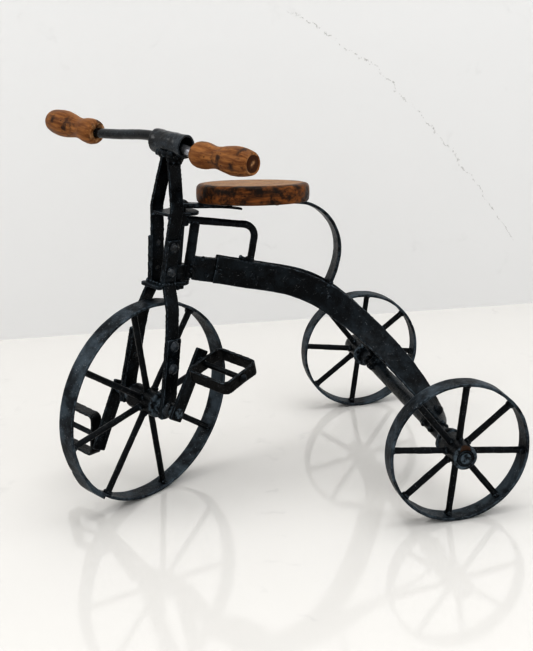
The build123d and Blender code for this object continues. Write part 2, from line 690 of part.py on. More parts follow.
def tongue():
    """The plate between the straps and the lower eye block that the steering pin passes through."""
    with BuildPart() as plate:
        add(tongue_blank())
        add(head_rod_blank(), mode=Mode.SUBTRACT)
        for rivet_part in backbone_rivets():
            add(rivet_part, mode=Mode.SUBTRACT)
    save(largest(plate.part), "backbone_tongue")
    to_pin = STRAIGHT_PIN.location.inverse()
    with BuildPart() as eye:
        with BuildSketch(Plane.XY.offset(EYE_LOWER_Z[0])):
            Circle(EYE_RADIUS)
            with Locations((0, EYE_BLOCK[1] / 2)):
                Rectangle(*EYE_BLOCK)
            Circle(PIN_RADIUS, mode=Mode.SUBTRACT)
        extrude(amount=EYE_LOWER_Z[1] - EYE_LOWER_Z[0])
        add(to_pin * head_rod_blank(), mode=Mode.SUBTRACT)
        add(to_pin * tongue_blank(), mode=Mode.SUBTRACT)
    save(largest(eye.part), "tongue_eye", STRAIGHT_PIN)


def strap_stations(rows):
    """Loft stations of a bent strap; a row is (centre, direction across the strap)."""
    stations = []
    for i, (centre, across) in enumerate(rows):
        before = rows[max(i - 1, 0)][0]
        after = rows[min(i + 1, len(rows) - 1)][0]
        along = (after - before).normalized()
        across = (across - along * across.dot(along)).normalized()
        stations.append((centre, across, along))
    return stations


def backbone_stations():
    """Left strap: on edge at the front, twisting flat and out to the rear axle."""
    rows = [(Vector(*rear_point(out, back, up)), Vector(*across)) for out, back, up, across in BACKBONE_STRAP]
    return strap_stations(rows)


def backbone_straps():
    left = band(backbone_stations(), STRAP_WIDTH, BAR_THICK)
    return left, left.mirror(Plane.YZ)


def backbone_rivets():
    """Three flush rivets across the straps."""
    rods = []
    for back, up, half in BACKBONE_RIVETS:
        rods.append(Pos(*rear_point(0, back, up)) * rod_across(BACKBONE_RIVET_RADIUS, half))
    return rods


def strap_bolt():
    """The bolt that holds the left strap's end to the beam, its head on the strap's rear face."""
    centre, across, along = backbone_stations()[-2]
    normal = across.cross(along).normalized()
    if normal.Y < 0:
        normal = normal * -1
    face = Plane(origin=centre + normal * (BAR_THICK / 2), z_dir=normal)
    with BuildPart() as bolt:
        add(face.location * dome_pin(*STRAP_BOLT_HEAD, *STRAP_BOLT_SHANK))
        add(Pos(*rear_point(0, 0, REAR_RADIUS)) * rod_across(BEAM_RADIUS, REAR_HUB_INNER), mode=Mode.SUBTRACT)
    return largest(bolt.part)


def backbone():
    """Straps, rivets, the block between the straps and the bolts at the rear axle."""
    beam = Pos(*rear_point(0, 0, REAR_RADIUS)) * rod_across(BEAM_RADIUS, REAR_HUB_INNER)
    rivets = backbone_rivets()
    straps = backbone_straps()
    bolts = [place_side(strap_bolt(), sign) for sign in (1, -1)]
    save(group(rivets), "backbone_rivets")
    save(group(bolts), "strap_bolts")
    for side, strap_part in zip(("left", "right"), straps):
        with BuildPart() as cut:
            add(strap_part)
            for piece in (*rivets, *bolts, beam, tongue_blank()):
                add(piece, mode=Mode.SUBTRACT)
        save(largest(cut.part), f"backbone_strap_{side}")
    with BuildPart() as block:
        add(side_plate(BLOCK, BLOCK_HALF))
        for piece in (*straps, *rivets):
            add(piece, mode=Mode.SUBTRACT)
    middle = min(block.part.solids(), key=lambda solid: abs(solid.center().X))
    save(middle, "strap_block")


# ---- seat ---------------------------------------------------------------------------------
def leaning(share):
    """Direction across the seat strap, leaning with the seat."""
    return Vector(cos(radians(SEAT_LEAN * share)), 0, sin(radians(SEAT_LEAN * share)))


def seat_strap_blank():
    rows = [(Vector(*rear_point(0, back, up)), leaning(share)) for back, up, share in SEAT_STRAP]
    return band(strap_stations(rows), SEAT_STRAP_WIDTH, BAR_THICK)


def leaf_blank():
    rows = [(Vector(*rear_point(0, back, up)), leaning(1.0)) for back, up in LEAF]
    return band(strap_stations(rows), LEAF_WIDTH, LEAF_THICK)


def seat_screw(offset):
    """A round-headed screw up through the strap into the seat."""
    height = STRAP_UNDER_SEAT - BAR_THICK / 2 - offset * STRAP_SLOPE
    screw = Rot(180, 0, 0) * dome_pin(*SCREW_HEAD, *SCREW_SHANK)
    return Pos(SEAT_CENTRE[0], SEAT_CENTRE[1] + offset, height) * Rot(0, -SEAT_LEAN, 0) * screw


def seat_set():
    """Spring strap on the steering pin, short leaf below it, wooden seat and its screws."""
    pin = STRAIGHT_PIN.location * Pos(0, 0, PIN_TOP) * dome_pin(PIN_HEAD_RADIUS, PIN_HEAD_HEIGHT, PIN_RADIUS, WIDE)
    screws = [seat_screw(offset) for offset in SCREW_OFFSETS]
    save(group(screws), "seat_screws")
    with BuildPart() as wood:
        with BuildSketch(Plane.XZ):
            with BuildLine():
                Polyline(*SEAT_PROFILE, close=True)
            make_face()
        revolve(axis=Axis.Z)
    with BuildPart() as seat:
        add(Pos(*SEAT_CENTRE) * Rot(-SEAT_FALL, 0, 0) * Rot(0, -SEAT_LEAN, 0) * wood.part)
        for piece in (seat_strap_blank(), *screws):
            add(piece, mode=Mode.SUBTRACT)
    save(largest(seat.part), "seat")
    with BuildPart() as strap:
        add(seat_strap_blank())
        for piece in (pin, *screws, side_plate(BLOCK, BLOCK_HALF)):
            add(piece, mode=Mode.SUBTRACT)
    save(largest(strap.part), "seat_strap")
    with BuildPart() as leaf:
        add(leaf_blank())
        for piece in (pin, seat_strap_blank(), *screws):
            add(piece, mode=Mode.SUBTRACT)
    save(largest(leaf.part), "seat_leaf")


def main():
    os.makedirs("parts", exist_ok=True)
    for side, sign in (("left", 1), ("right", -1)):
        rear_wheel(side, sign)
        fork_side(side, sign)
        crank(side, sign)
        pedal(side, sign)
    rear_axle_set()
    front_wheel()
    handlebar_set()
    yoke_plates()
    steering_pin_set()
    frame_rods()
    tongue()
    backbone()
    seat_set()


main()
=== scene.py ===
"""Looks for a small wrought-iron tricycle with a wooden seat and wooden grips."""

import json
import logging
import math
from dataclasses import dataclass, replace
from enum import Enum

import bpy
import numpy as np
from mathutils import Matrix, Vector, noise


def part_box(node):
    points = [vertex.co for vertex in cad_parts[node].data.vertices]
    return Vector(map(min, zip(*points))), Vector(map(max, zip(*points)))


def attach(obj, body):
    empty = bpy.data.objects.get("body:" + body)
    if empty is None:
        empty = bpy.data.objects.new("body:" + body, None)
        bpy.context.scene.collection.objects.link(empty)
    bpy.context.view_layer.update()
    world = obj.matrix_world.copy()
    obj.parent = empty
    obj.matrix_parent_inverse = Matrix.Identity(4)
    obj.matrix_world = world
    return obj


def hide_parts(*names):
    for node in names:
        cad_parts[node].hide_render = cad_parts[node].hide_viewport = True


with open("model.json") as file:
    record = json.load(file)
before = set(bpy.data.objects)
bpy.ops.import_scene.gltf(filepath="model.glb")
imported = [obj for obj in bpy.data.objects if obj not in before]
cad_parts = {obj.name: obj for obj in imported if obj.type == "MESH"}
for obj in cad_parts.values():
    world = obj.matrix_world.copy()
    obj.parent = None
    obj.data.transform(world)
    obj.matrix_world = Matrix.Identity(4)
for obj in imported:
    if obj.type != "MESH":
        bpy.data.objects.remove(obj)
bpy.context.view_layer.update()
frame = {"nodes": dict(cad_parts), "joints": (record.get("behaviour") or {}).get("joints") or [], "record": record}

MM = 0.001
LOG = logging.getLogger("tricycle")


class Slot(Enum):
    """Material slots named in the record."""

    IRON = "black_iron"
    RIM = "rim_iron"
    SPOKE = "spoke_iron"
    WOOD = "turned_wood"
    SEAT = "seat_wood"


# ---- shader graphs ------------------------------------------------------------------------
class Graph:
    """A thin hand on a node tree: makes nodes, sets sockets and draws links."""

    def __init__(self, tree: bpy.types.NodeTree) -> None:
        """Keep the tree that is being drawn.

        Args:
            tree: A material's or a group's node tree.
        """
        self.tree = tree

    def node(self, kind: str, settings: dict | None = None, **sockets: object) -> bpy.types.Node:
        """Make a node, set its options and feed its inputs.

        Args:
            kind: Blender's node type name.
            settings: Options set on the node itself.
            sockets: Inputs by name, an underscore standing for a space. A socket is linked.

        Returns:
            The new node.
        """
        made = self.tree.nodes.new(kind)
        for name, value in (settings or {}).items():
            setattr(made, name, value)
        for name, value in sockets.items():
            self.feed(made.inputs[name.replace("_", " ")], value)
        return made

    def feed(self, socket: bpy.types.NodeSocket, value: object) -> None:
        """Link a socket from another, or set its own value.

        Args:
            socket: The input to feed.
            value: An output socket or a plain value.
        """
        if isinstance(value, bpy.types.NodeSocket):
            self.tree.links.new(value, socket)
        else:
            socket.default_value = value

    def math(self, operation: str, a: object, b: object = 0.0) -> bpy.types.NodeSocket:
        """A sum on two values.

        Args:
            operation: Blender's name of the operation.
            a: First value or socket.
            b: Second value or socket.

        Returns:
            The result's socket.
        """
        made = self.tree.nodes.new("ShaderNodeMath")
        made.operation = operation
        self.feed(made.inputs[0], a)
        self.feed(made.inputs[1], b)
        return made.outputs[0]

    def span(self, value: object, low: float, high: float, to_low: float = 0.0,
             to_high: float = 1.0) -> bpy.types.NodeSocket:
        """Map a value smoothly from one range to another.

        Args:
            value: The socket to map.
            low: Start of its range.
            high: End of its range.
            to_low: Result at the start.
            to_high: Result at the end.

        Returns:
            The mapped socket.
        """
        made = self.tree.nodes.new("ShaderNodeMapRange")
        made.interpolation_type = "SMOOTHSTEP"
        for socket, number in zip(made.inputs[:5], (value, low, high, to_low, to_high)):
            self.feed(socket, number)
        return made.outputs[0]

    def mix(self, factor: object, a: object, b: object) -> bpy.types.NodeSocket:
        """Mix two colours.

        Args:
            factor: Share of the second colour.
            a: First colour or socket.
            b: Second colour or socket.

        Returns:
            The mixed colour's socket.
        """
        made = self.tree.nodes.new("ShaderNodeMix")
        made.data_type = "RGBA"
        self.feed(made.inputs[0], factor)
        self.feed(made.inputs[6], a)
        self.feed(made.inputs[7], b)
        return made.outputs[2]

    def noise(self, vector: object, scale: object, detail: float = 3.0,
              rough: float = 0.55) -> bpy.types.NodeSocket:
        """Plain noise between about 0.2 and 0.8.

        Args:
            vector: Where on the piece.
            scale: Size of the noise, per metre.
            detail: Octaves.
            rough: Share of the finer octaves.

        Returns:
            The noise value's socket.
        """
        made = self.node("ShaderNodeTexNoise", Vector=vector, Scale=scale, Detail=detail, Roughness=rough)
        return made.outputs[0]

    def product(self, *values: object) -> bpy.types.NodeSocket:
        """Multiply values together.

        Args:
            values: Values or sockets, two or more.

        Returns:
            The product's socket.
        """
        total = values[0]
        for value in values[1:]:
            total = self.math("MULTIPLY", total, value)
        return total

    def vector(self, operation: str, a: object, b: object = (0.0, 0.0, 0.0)) -> bpy.types.Node:
        """Combine two vectors.

        Args:
            operation: Blender's name of the operation.
            a: First vector or socket.
            b: Second vector or socket.

        Returns:
            The node, with a Vector and a Value output.
        """
        made = self.node("ShaderNodeVectorMath", {"operation": operation})
        self.feed(made.inputs[0], a)
        self.feed(made.inputs[1], b)
        return made

    def part(self, vector: object, axis: str) -> bpy.types.NodeSocket:
        """One part of a vector: X, Y or Z."""
        return self.node("ShaderNodeSeparateXYZ", Vector=vector).outputs[axis]

    def place(self) -> bpy.types.NodeSocket:
        """Where on the piece a point lies, in the piece's own frame."""
        return self.node("ShaderNodeTexCoord").outputs["Object"]

    def effect(self, kind: "Effect", **sockets: object) -> bpy.types.Node:
        """Place one of the shared effects.

        Args:
            kind: Which effect.
            sockets: Its inputs by name.

        Returns:
            The group node.
        """
        made = self.tree.nodes.new("ShaderNodeGroup")
        made.node_tree = Effects.tree(kind)
        for name, value in sockets.items():
            self.feed(made.inputs[name.replace("_", " ")], value)
        return made


class Effect(Enum):
    """Surface effects that several finishes share."""

    FORGED = "forged surface"
    # edge mask: real rubbing on the wood, a painted edge highlight on the iron
    EDGE_WEAR_AND_GLINT = "edge wear"
    # up-facing mask: a dusting with a painted sheen of light from above
    DUST = "settled dust"
    GRAIN = "wood grain"
    PITS = "pits and knocks"


class Effects:
    """Builds each shared effect once, as a node group."""

    built: dict = {}
    FINE_SCALE, FINE_SHARE = 4.3, 0.45
    GRIT_SCALE, GRIT_SHARE = 19.0, 0.09
    GRIT_RANGE = (0.35, 0.7)
    PATCH_SCALE, PATCH_RANGE = 0.6, (0.42, 0.66)
    EDGE_RANGE, EDGE_BREAKS = (0.512, 0.565), (0.38, 0.62)
    UPWARD, DUST_PATCHES = (0.25, 0.95), (0.35, 0.72)
    STREAKS = (0.32, 0.68)
    FIBRE_SCALE, FIBRE_SHARE = 6.0, 0.3
    PIT_REACH, PIT_SPREAD, PIT_RARE = (0.30, 0.08), 0.35, (0.50, 0.60)

    @classmethod
    def tree(cls, kind: Effect) -> bpy.types.NodeTree:
        """The group for an effect, made the first time it is asked for.

        Args:
            kind: Which effect.

        Returns:
            Its node tree.
        """
        if kind not in cls.built:
            makers = {
                Effect.FORGED: cls.forged,
                Effect.EDGE_WEAR_AND_GLINT: cls.edge_wear_and_glint,
                Effect.DUST: cls.dust_and_sheen,
                Effect.GRAIN: cls.grain,
                Effect.PITS: cls.pits,
            }
            cls.built[kind] = makers[kind]()
        return cls.built[kind]

    @staticmethod
    def start(kind: Effect, inputs: dict[str, float | None],
              *outputs: str) -> tuple[Graph, bpy.types.Node, bpy.types.Node]:
        """Open a group with named sockets.

        Args:
            kind: Which effect.
            inputs: Input names with their first values; None makes a vector input.
            outputs: Names of the value outputs.

        Returns:
            The graph, the group's input node and its output node.
        """
        tree = bpy.data.node_groups.new(kind.value, "ShaderNodeTree")
        for name, value in inputs.items():
            sort = "NodeSocketVector" if value is None else "NodeSocketFloat"
            socket = tree.interface.new_socket(name, in_out="INPUT", socket_type=sort)
            if value is not None:
                socket.default_value = value
        for name in outputs:
            tree.interface.new_socket(name, in_out="OUTPUT", socket_type="NodeSocketFloat")
        graph = Graph(tree)
        return graph, graph.node("NodeGroupInput"), graph.node("NodeGroupOutput")

    @classmethod
    def forged(cls) -> bpy.types.NodeTree:
        """Hammered lumps under thick paint: broad dents, small lumps and brush grit.

        Returns:
            The group's tree.
        """
        graph, given, out = cls.start(
            Effect.FORGED, {"Vector": None, "Scale": 90.0}, "Height", "Patches", "Grit")
        where, scale = given.outputs["Vector"], given.outputs["Scale"]
        broad = graph.noise(where, scale, 2.0)
        fine = graph.noise(where, graph.product(scale, cls.FINE_SCALE), 4.0, 0.6)
        grit = graph.noise(where, graph.product(scale, cls.GRIT_SCALE), 3.0, 0.7)
        height = graph.math("ADD", broad, graph.product(fine, cls.FINE_SHARE))
        height = graph.math("ADD", height, graph.product(grit, cls.GRIT_SHARE))
        graph.feed(out.inputs["Height"], height)
        patches = graph.noise(where, graph.product(scale, cls.PATCH_SCALE), 5.0, 0.62)
        graph.feed(out.inputs["Patches"], graph.span(patches, *cls.PATCH_RANGE))
        graph.feed(out.inputs["Grit"], graph.span(grit, *cls.GRIT_RANGE))
        return graph.tree

    @classmethod
    def edge_wear_and_glint(cls) -> bpy.types.NodeTree:
        """Edges picked out by pointiness and broken up by noise: real rubbing on the wood, a painted edge
        highlight on the iron.

        Returns:
            The group's tree.
        """
        graph, given, out = cls.start(
            Effect.EDGE_WEAR_AND_GLINT, {"Vector": None, "Scale": 260.0, "Amount": 0.5}, "Mask")
        geometry = graph.node("ShaderNodeNewGeometry")
        edge = graph.span(geometry.outputs["Pointiness"], *cls.EDGE_RANGE)
        breaks = graph.noise(given.outputs["Vector"], given.outputs["Scale"], 4.0)
        broken = graph.span(breaks, *cls.EDGE_BREAKS)
        graph.feed(out.inputs["Mask"], graph.product(edge, broken, given.outputs["Amount"]))
        return graph.tree

    @classmethod
    def dust_and_sheen(cls) -> bpy.types.NodeTree:
        """Up-facing faces made paler: a dusting with a painted sheen of light from above.

        Returns:
            The group's tree.
        """
        graph, given, out = cls.start(
            Effect.DUST, {"Vector": None, "Scale": 120.0, "Amount": 0.3}, "Mask")
        facing = graph.part(graph.node("ShaderNodeNewGeometry").outputs["Normal"], "Z")
        upward = graph.span(facing, *cls.UPWARD)
        drifts = graph.noise(given.outputs["Vector"], given.outputs["Scale"], 5.0)
        patchy = graph.span(drifts, *cls.DUST_PATCHES)
        graph.feed(out.inputs["Mask"], graph.product(upward, patchy, given.outputs["Amount"]))
        return graph.tree

    @classmethod
    def grain(cls) -> bpy.types.NodeTree:
        """Wood grain along the vector's Z.

        Returns:
            The group's tree.
        """
        graph, given, out = cls.start(
            Effect.GRAIN, {"Vector": None, "Scale": 260.0, "Length": 0.09}, "Tone", "Height")
        stretch = graph.node("ShaderNodeCombineXYZ", X=1.0, Y=1.0, Z=given.outputs["Length"])
        along = graph.vector("MULTIPLY", given.outputs["Vector"], stretch.outputs[0]).outputs[0]
        streaks = graph.noise(along, given.outputs["Scale"], 6.0, 0.68)
        fibres = graph.noise(along, graph.product(given.outputs["Scale"], cls.FIBRE_SCALE), 3.0, 0.6)
        graph.feed(out.inputs["Tone"], graph.span(streaks, *cls.STREAKS))
        graph.feed(out.inputs["Height"], graph.math("ADD", streaks, graph.product(fibres, cls.FIBRE_SHARE)))
        return graph.tree

    @classmethod
    def pits(cls) -> bpy.types.NodeTree:
        """Small dark pits and larger knocks.

        Returns:
            The group's tree.
        """
        graph, given, out = cls.start(
            Effect.PITS, {"Vector": None, "Scale": 180.0, "Amount": 1.0}, "Mask")
        where, scale = given.outputs["Vector"], given.outputs["Scale"]
        cells = graph.node("ShaderNodeTexVoronoi", {"feature": "F1"}, Vector=where, Scale=scale)
        near = graph.span(cells.outputs["Distance"], *cls.PIT_REACH)
        spread = graph.noise(where, graph.product(scale, cls.PIT_SPREAD), 3.0)
        rare = graph.span(spread, *cls.PIT_RARE)
        graph.feed(out.inputs["Mask"], graph.product(near, rare, given.outputs["Amount"]))
        return graph.tree


# ---- finishes -----------------------------------------------------------------------------
def blank(name: str) -> tuple[bpy.types.Material, Graph]:
    """A material with an empty graph.

    Args:
        name: The material's name.

    Returns:
        The material and its graph.
    """
    material = bpy.data.materials.new(name)
    material.use_nodes = True
    material.node_tree.nodes.clear()
    return material, Graph(material.node_tree)


def shade(colour: tuple, share: float) -> tuple:
    """A colour darkened to a share of its brightness."""
    return tuple(channel * share for channel in colour[:3]) + (1,)


@dataclass(frozen=True)
class PaintedIron:
    """Thick black paint brushed over hammered iron, with a painted highlight on its edges and a painted sheen on
    faces that look up.
    """

    name: str
    deep: tuple = (0.0016, 0.0024, 0.0033, 1)
    pale: tuple = (0.0105, 0.0150, 0.0190, 1)
    # pale blue-grey laid on the edges: a painted edge highlight
    worn_and_glint: tuple = (0.095, 0.120, 0.140, 1)
    # blue-grey laid on faces that look up: a dusting with a painted sheen
    dust_and_sheen_tint: tuple = (0.080, 0.100, 0.115, 1)
    chipped: tuple = (0.22, 0.225, 0.23, 1)
    rough: tuple = (0.20, 0.42)
    wear_and_glint: float = 0.8
    dust_and_sheen: float = 0.16
    chips: float = 0.55
    lump_scale: float = 90.0
    bump: float = 0.8
    bump_depth: float = 0.0009
    chip_scale: float = 520.0
    patch_rough: float = 0.08
    specular: float = 0.15

    def shader(self) -> tuple[bpy.types.Material, Graph, bpy.types.Node, dict]:
        """The finish as a material that a special patch can still be laid over.

        Returns:
            The material, its graph, its shader node and the colour and roughness so far.
        """
        material, graph = blank(self.name)
        where = graph.place()
        forged = graph.effect(Effect.FORGED, Vector=where, Scale=self.lump_scale)
        wear_and_glint = graph.effect(Effect.EDGE_WEAR_AND_GLINT, Vector=where, Amount=self.wear_and_glint)
        dust_and_sheen = graph.effect(Effect.DUST, Vector=where, Amount=self.dust_and_sheen)
        colour = graph.mix(forged.outputs["Patches"], self.deep, self.pale)
        # painted sheen: faces that look up turn blue-grey, along with a dusting
        colour = graph.mix(dust_and_sheen.outputs["Mask"], colour, self.dust_and_sheen_tint)
        # painted edge highlight: the edges turn pale blue-grey
        colour = graph.mix(wear_and_glint.outputs["Mask"], colour, self.worn_and_glint)
        chips = graph.effect(Effect.PITS, Vector=where, Scale=self.chip_scale, Amount=self.chips)
        colour = graph.mix(chips.outputs["Mask"], colour, self.chipped)
        rough = graph.span(forged.outputs["Grit"], 0.0, 1.0, *self.rough)
        rough = graph.math("ADD", rough, graph.product(forged.outputs["Patches"], self.patch_rough))
        bump = graph.node("ShaderNodeBump", Strength=self.bump, Distance=self.bump_depth,
                          Height=forged.outputs["Height"])
        shader = graph.node("ShaderNodeBsdfPrincipled", Normal=bump.outputs[0], Metallic=0.0)
        shader.inputs["Specular IOR Level"].default_value = self.specular
        graph.node("ShaderNodeOutputMaterial", Surface=shader.outputs[0])
        return material, graph, shader, {"where": where, "colour": colour, "rough": rough}

    def build(self) -> bpy.types.Material:
        """The plain finish, with no patch.

        Returns:
            The material.
        """
        material, graph, shader, state = self.shader()
        graph.feed(shader.inputs["Base Color"], state["colour"])
        graph.feed(shader.inputs["Roughness"], state["rough"])
        return material


@dataclass(frozen=True)
class PatchedIron:
    """Painted iron with a patch scraped bare or gone rusty round one point."""

    base: PaintedIron
    name: str
    centre: tuple
    radius: float
    patch: tuple
    patch_rough: float
    metal: float
    ragged_scale: float = 420.0
    ragged_share: float = 0.5
    fade: tuple = (1.35, 1.15)
    streak_scale: float = 900.0
    streak_dark: float = 0.55

    def build(self) -> bpy.types.Material:
        """The finish with its patch laid on.

        Returns:
            The material.
        """
        material, graph, shader, state = self.base.shader()
        material.name = self.name
        away = graph.vector("DISTANCE", state["where"], self.centre).outputs["Value"]
        ragged = graph.noise(state["where"], self.ragged_scale, 4.0, 0.6)
        reach = graph.math("ADD", away, graph.product(ragged, self.radius * self.ragged_share))
        mask = graph.span(reach, *(self.radius * edge for edge in self.fade))
        streak = graph.span(graph.noise(state["where"], self.streak_scale, 3.0), 0.3, 0.7)
        bare = graph.mix(streak, shade(self.patch, self.streak_dark), self.patch)
        graph.feed(shader.inputs["Base Color"], graph.mix(mask, state["colour"], bare))
        kept = graph.product(graph.math("SUBTRACT", 1.0, mask), state["rough"])
        graph.feed(shader.inputs["Roughness"],
                   graph.math("ADD", kept, graph.product(mask, self.patch_rough)))
        graph.feed(shader.inputs["Metallic"], graph.product(mask, self.metal))
        return material


@dataclass(frozen=True)
class OldWood:
    """Stained and lacquered wood, knocked about, and paled by hands where it is handled."""

    name: str
    stain: tuple
    light: tuple
    dark: tuple
    worn_and_glint: tuple
    top: tuple | None = None
    top_dark: tuple | None = None
    grain_scale: float = 260.0
    blotch_scale: float = 55.0
    blotch: tuple = (0.50, 0.66)
    rough: tuple = (0.34, 0.55)
    along: str = "Z"
    end_face: tuple | None = None
    end_start: tuple = (0.0708, 0.0713)
    end_radius: tuple = (0.0084, 0.0078)
    top_facing: tuple = (0.80, 0.97)
    top_patches: tuple = (0.30, 0.55)
    top_radius: tuple = (0.0585, 0.0505)
    pit_scale: float = 230.0
    pit_amount: float = 0.85
    pit_depth: float = 1.2
    wear_scale: float = 190.0
    wear_amount: float = 0.8
    bump: float = 0.5
    bump_depth: float = 0.0005
    specular: float = 0.14

    def top_cover(self, graph: Graph, where: bpy.types.NodeSocket) -> bpy.types.NodeSocket:
        """Where the up-facing top is painted paler in patches, short of its rim: rubbing and a painted sheen both.

        Args:
            graph: The material's graph.
            where: Point on the piece.

        Returns:
            The mask's socket.
        """
        facing = graph.part(graph.node("ShaderNodeTexCoord").outputs["Normal"], "Z")
        upward = graph.span(facing, *self.top_facing)
        rub_and_sheen_patches = graph.span(graph.noise(where, 70.0, 6.0, 0.7), *self.top_patches)
        reach = graph.vector("LENGTH", where).outputs["Value"]
        ragged = graph.product(graph.noise(where, 110.0, 4.0), 0.012)
        inside = graph.span(graph.math("ADD", reach, ragged), *self.top_radius)
        return graph.product(upward, rub_and_sheen_patches, inside)

    def end_cover(self, graph: Graph, where: bpy.types.NodeSocket) -> bpy.types.NodeSocket:
        """The scribed disc on the piece's end.

        Args:
            graph: The material's graph.
            where: Point on the piece.

        Returns:
            The mask's socket.
        """
        off_axis = graph.vector("LENGTH", graph.vector("MULTIPLY", where, (1.0, 1.0, 0.0)).outputs[0])
        return graph.product(graph.span(graph.part(where, "Z"), *self.end_start),
                             graph.span(off_axis.outputs["Value"], *self.end_radius))

    def build(self) -> bpy.types.Material:
        """The finish as a material.

        Returns:
            The material.
        """
        material, graph = blank(self.name)
        where = graph.place()
        lie = where
        if self.along == "Y":
            apart = graph.node("ShaderNodeSeparateXYZ", Vector=where)
            lie = graph.node("ShaderNodeCombineXYZ", X=apart.outputs["X"], Y=apart.outputs["Z"],
                             Z=apart.outputs["Y"]).outputs[0]
        grain = graph.effect(Effect.GRAIN, Vector=lie, Scale=self.grain_scale)
        pits = graph.effect(Effect.PITS, Vector=where, Scale=self.pit_scale, Amount=self.pit_amount)
        wear_and_glint = graph.effect(Effect.EDGE_WEAR_AND_GLINT, Vector=where, Scale=self.wear_scale, Amount=self.wear_amount)
        colour = graph.mix(grain.outputs["Tone"], self.stain, self.light)
        blotches = graph.span(graph.noise(where, self.blotch_scale, 5.0, 0.65), *self.blotch)
        colour = graph.mix(blotches, colour, self.dark)
        if self.top is not None:
            face = graph.mix(grain.outputs["Tone"], self.top_dark, self.top)
            # paler up-facing top: rubbing and a painted sheen
            colour = graph.mix(self.top_cover(graph, where), colour, face)
        if self.end_face is not None:
            colour = graph.mix(self.end_cover(graph, where), colour, self.end_face)
        colour = graph.mix(wear_and_glint.outputs["Mask"], colour, self.worn_and_glint)
        colour = graph.mix(pits.outputs["Mask"], colour, self.dark)
        height = graph.math("SUBTRACT", grain.outputs["Height"],
                            graph.product(pits.outputs["Mask"], self.pit_depth))
        bump = graph.node("ShaderNodeBump", Strength=self.bump, Distance=self.bump_depth, Height=height)
        shader = graph.node("ShaderNodeBsdfPrincipled", Base_Color=colour, Normal=bump.outputs[0])
        graph.feed(shader.inputs["Roughness"], graph.span(grain.outputs["Tone"], 0.0, 1.0, *self.rough))
        shader.inputs["Specular IOR Level"].default_value = self.specular
        graph.node("ShaderNodeOutputMaterial", Surface=shader.outputs[0])
        return material


@dataclass(frozen=True)
class Crack:
    """A broken vein that runs along a wall in a shallow bow, from one (y, z) to another."""

    start: tuple
    end: tuple
    bow: float
    thick: float
    wobble: float = 0.05
    wobble_scale: float = 34.0
    spot_scale: float = 150.0
    spots: tuple = (0.47, 0.60)
    fade: float = 0.02
    strength: float = 0.8

    def mask(self, graph: Graph, where: bpy.types.NodeSocket) -> bpy.types.NodeSocket:
        """Where the vein shows.

        Args:
            graph: The material's graph.
            where: Point on the wall.

        Returns:
            The mask's socket.
        """
        along = graph.math("SUBTRACT", graph.part(where, "Y"), self.start[0])
        share = graph.math("DIVIDE", along, self.end[0] - self.start[0])
        bow = graph.product(share, graph.math("SUBTRACT", 1.0, share), 4 * self.bow)
        line = graph.math("ADD", graph.product(share, self.end[1] - self.start[1]), self.start[1])
        uneven = graph.math("SUBTRACT", graph.noise(where, self.wobble_scale, 6.0, 0.7), 0.5)
        height = graph.math("ADD", graph.math("ADD", line, bow), graph.product(uneven, self.wobble))
        away = graph.math("ABSOLUTE", graph.math("SUBTRACT", graph.part(where, "Z"), height))
        inside = graph.product(graph.span(share, 0.0, self.fade), graph.span(share, 1.0, 1.0 - self.fade))
        spotty = graph.span(graph.noise(where, self.spot_scale, 5.0, 0.7), *self.spots)
        return graph.product(graph.span(away, self.thick, 0.0), inside, spotty, self.strength)


@dataclass(frozen=True)
class PaleStone:
    """Polished or matt pale stone for the floor and the wall behind."""

    name: str
    tint: tuple
    vein: tuple
    rough: float
    vein_amount: float
    crack: Crack | None = None
    clear_back: bool = False
    cloud_scale: float = 1.6
    cloud_range: tuple = (0.35, 0.75)
    cloud_amount: float = 0.25
    cloud_dark: float = 0.93
    vein_scale: float = 2.2
    vein_thin: float = 0.012
    break_scale: float = 30.0
    break_range: tuple = (0.5, 0.75)

    def build(self) -> bpy.types.Material:
        """The finish as a material, clear from behind where that is asked for.

        Returns:
            The material.
        """
        material, graph = blank(self.name)
        where = graph.place()
        cloud = graph.span(graph.noise(where, self.cloud_scale, 5.0, 0.5), *self.cloud_range)
        bent = graph.noise(where, self.vein_scale, 5.0, 0.6)
        thin = graph.span(graph.math("ABSOLUTE", graph.math("SUBTRACT", bent, 0.5)), self.vein_thin, 0.0)
        broken = graph.span(graph.noise(where, self.break_scale, 4.0), *self.break_range)
        cloudy = graph.product(cloud, self.cloud_amount)
        colour = graph.mix(cloudy, self.tint, shade(self.tint, self.cloud_dark))
        colour = graph.mix(graph.product(thin, broken, self.vein_amount), colour, self.vein)
        if self.crack is not None:
            colour = graph.mix(self.crack.mask(graph, where), colour, self.vein)
        stone = graph.node("ShaderNodeBsdfPrincipled", Base_Color=colour, Roughness=self.rough)
        surface = stone.outputs[0]
        if self.clear_back:
            blend = graph.node("ShaderNodeMixShader")
            graph.feed(blend.inputs[0], graph.node("ShaderNodeNewGeometry").outputs["Backfacing"])
            graph.feed(blend.inputs[1], surface)
            graph.feed(blend.inputs[2], graph.node("ShaderNodeBsdfTransparent").outputs[0])
            surface = blend.outputs[0]
        graph.node("ShaderNodeOutputMaterial", Surface=surface)
        return material


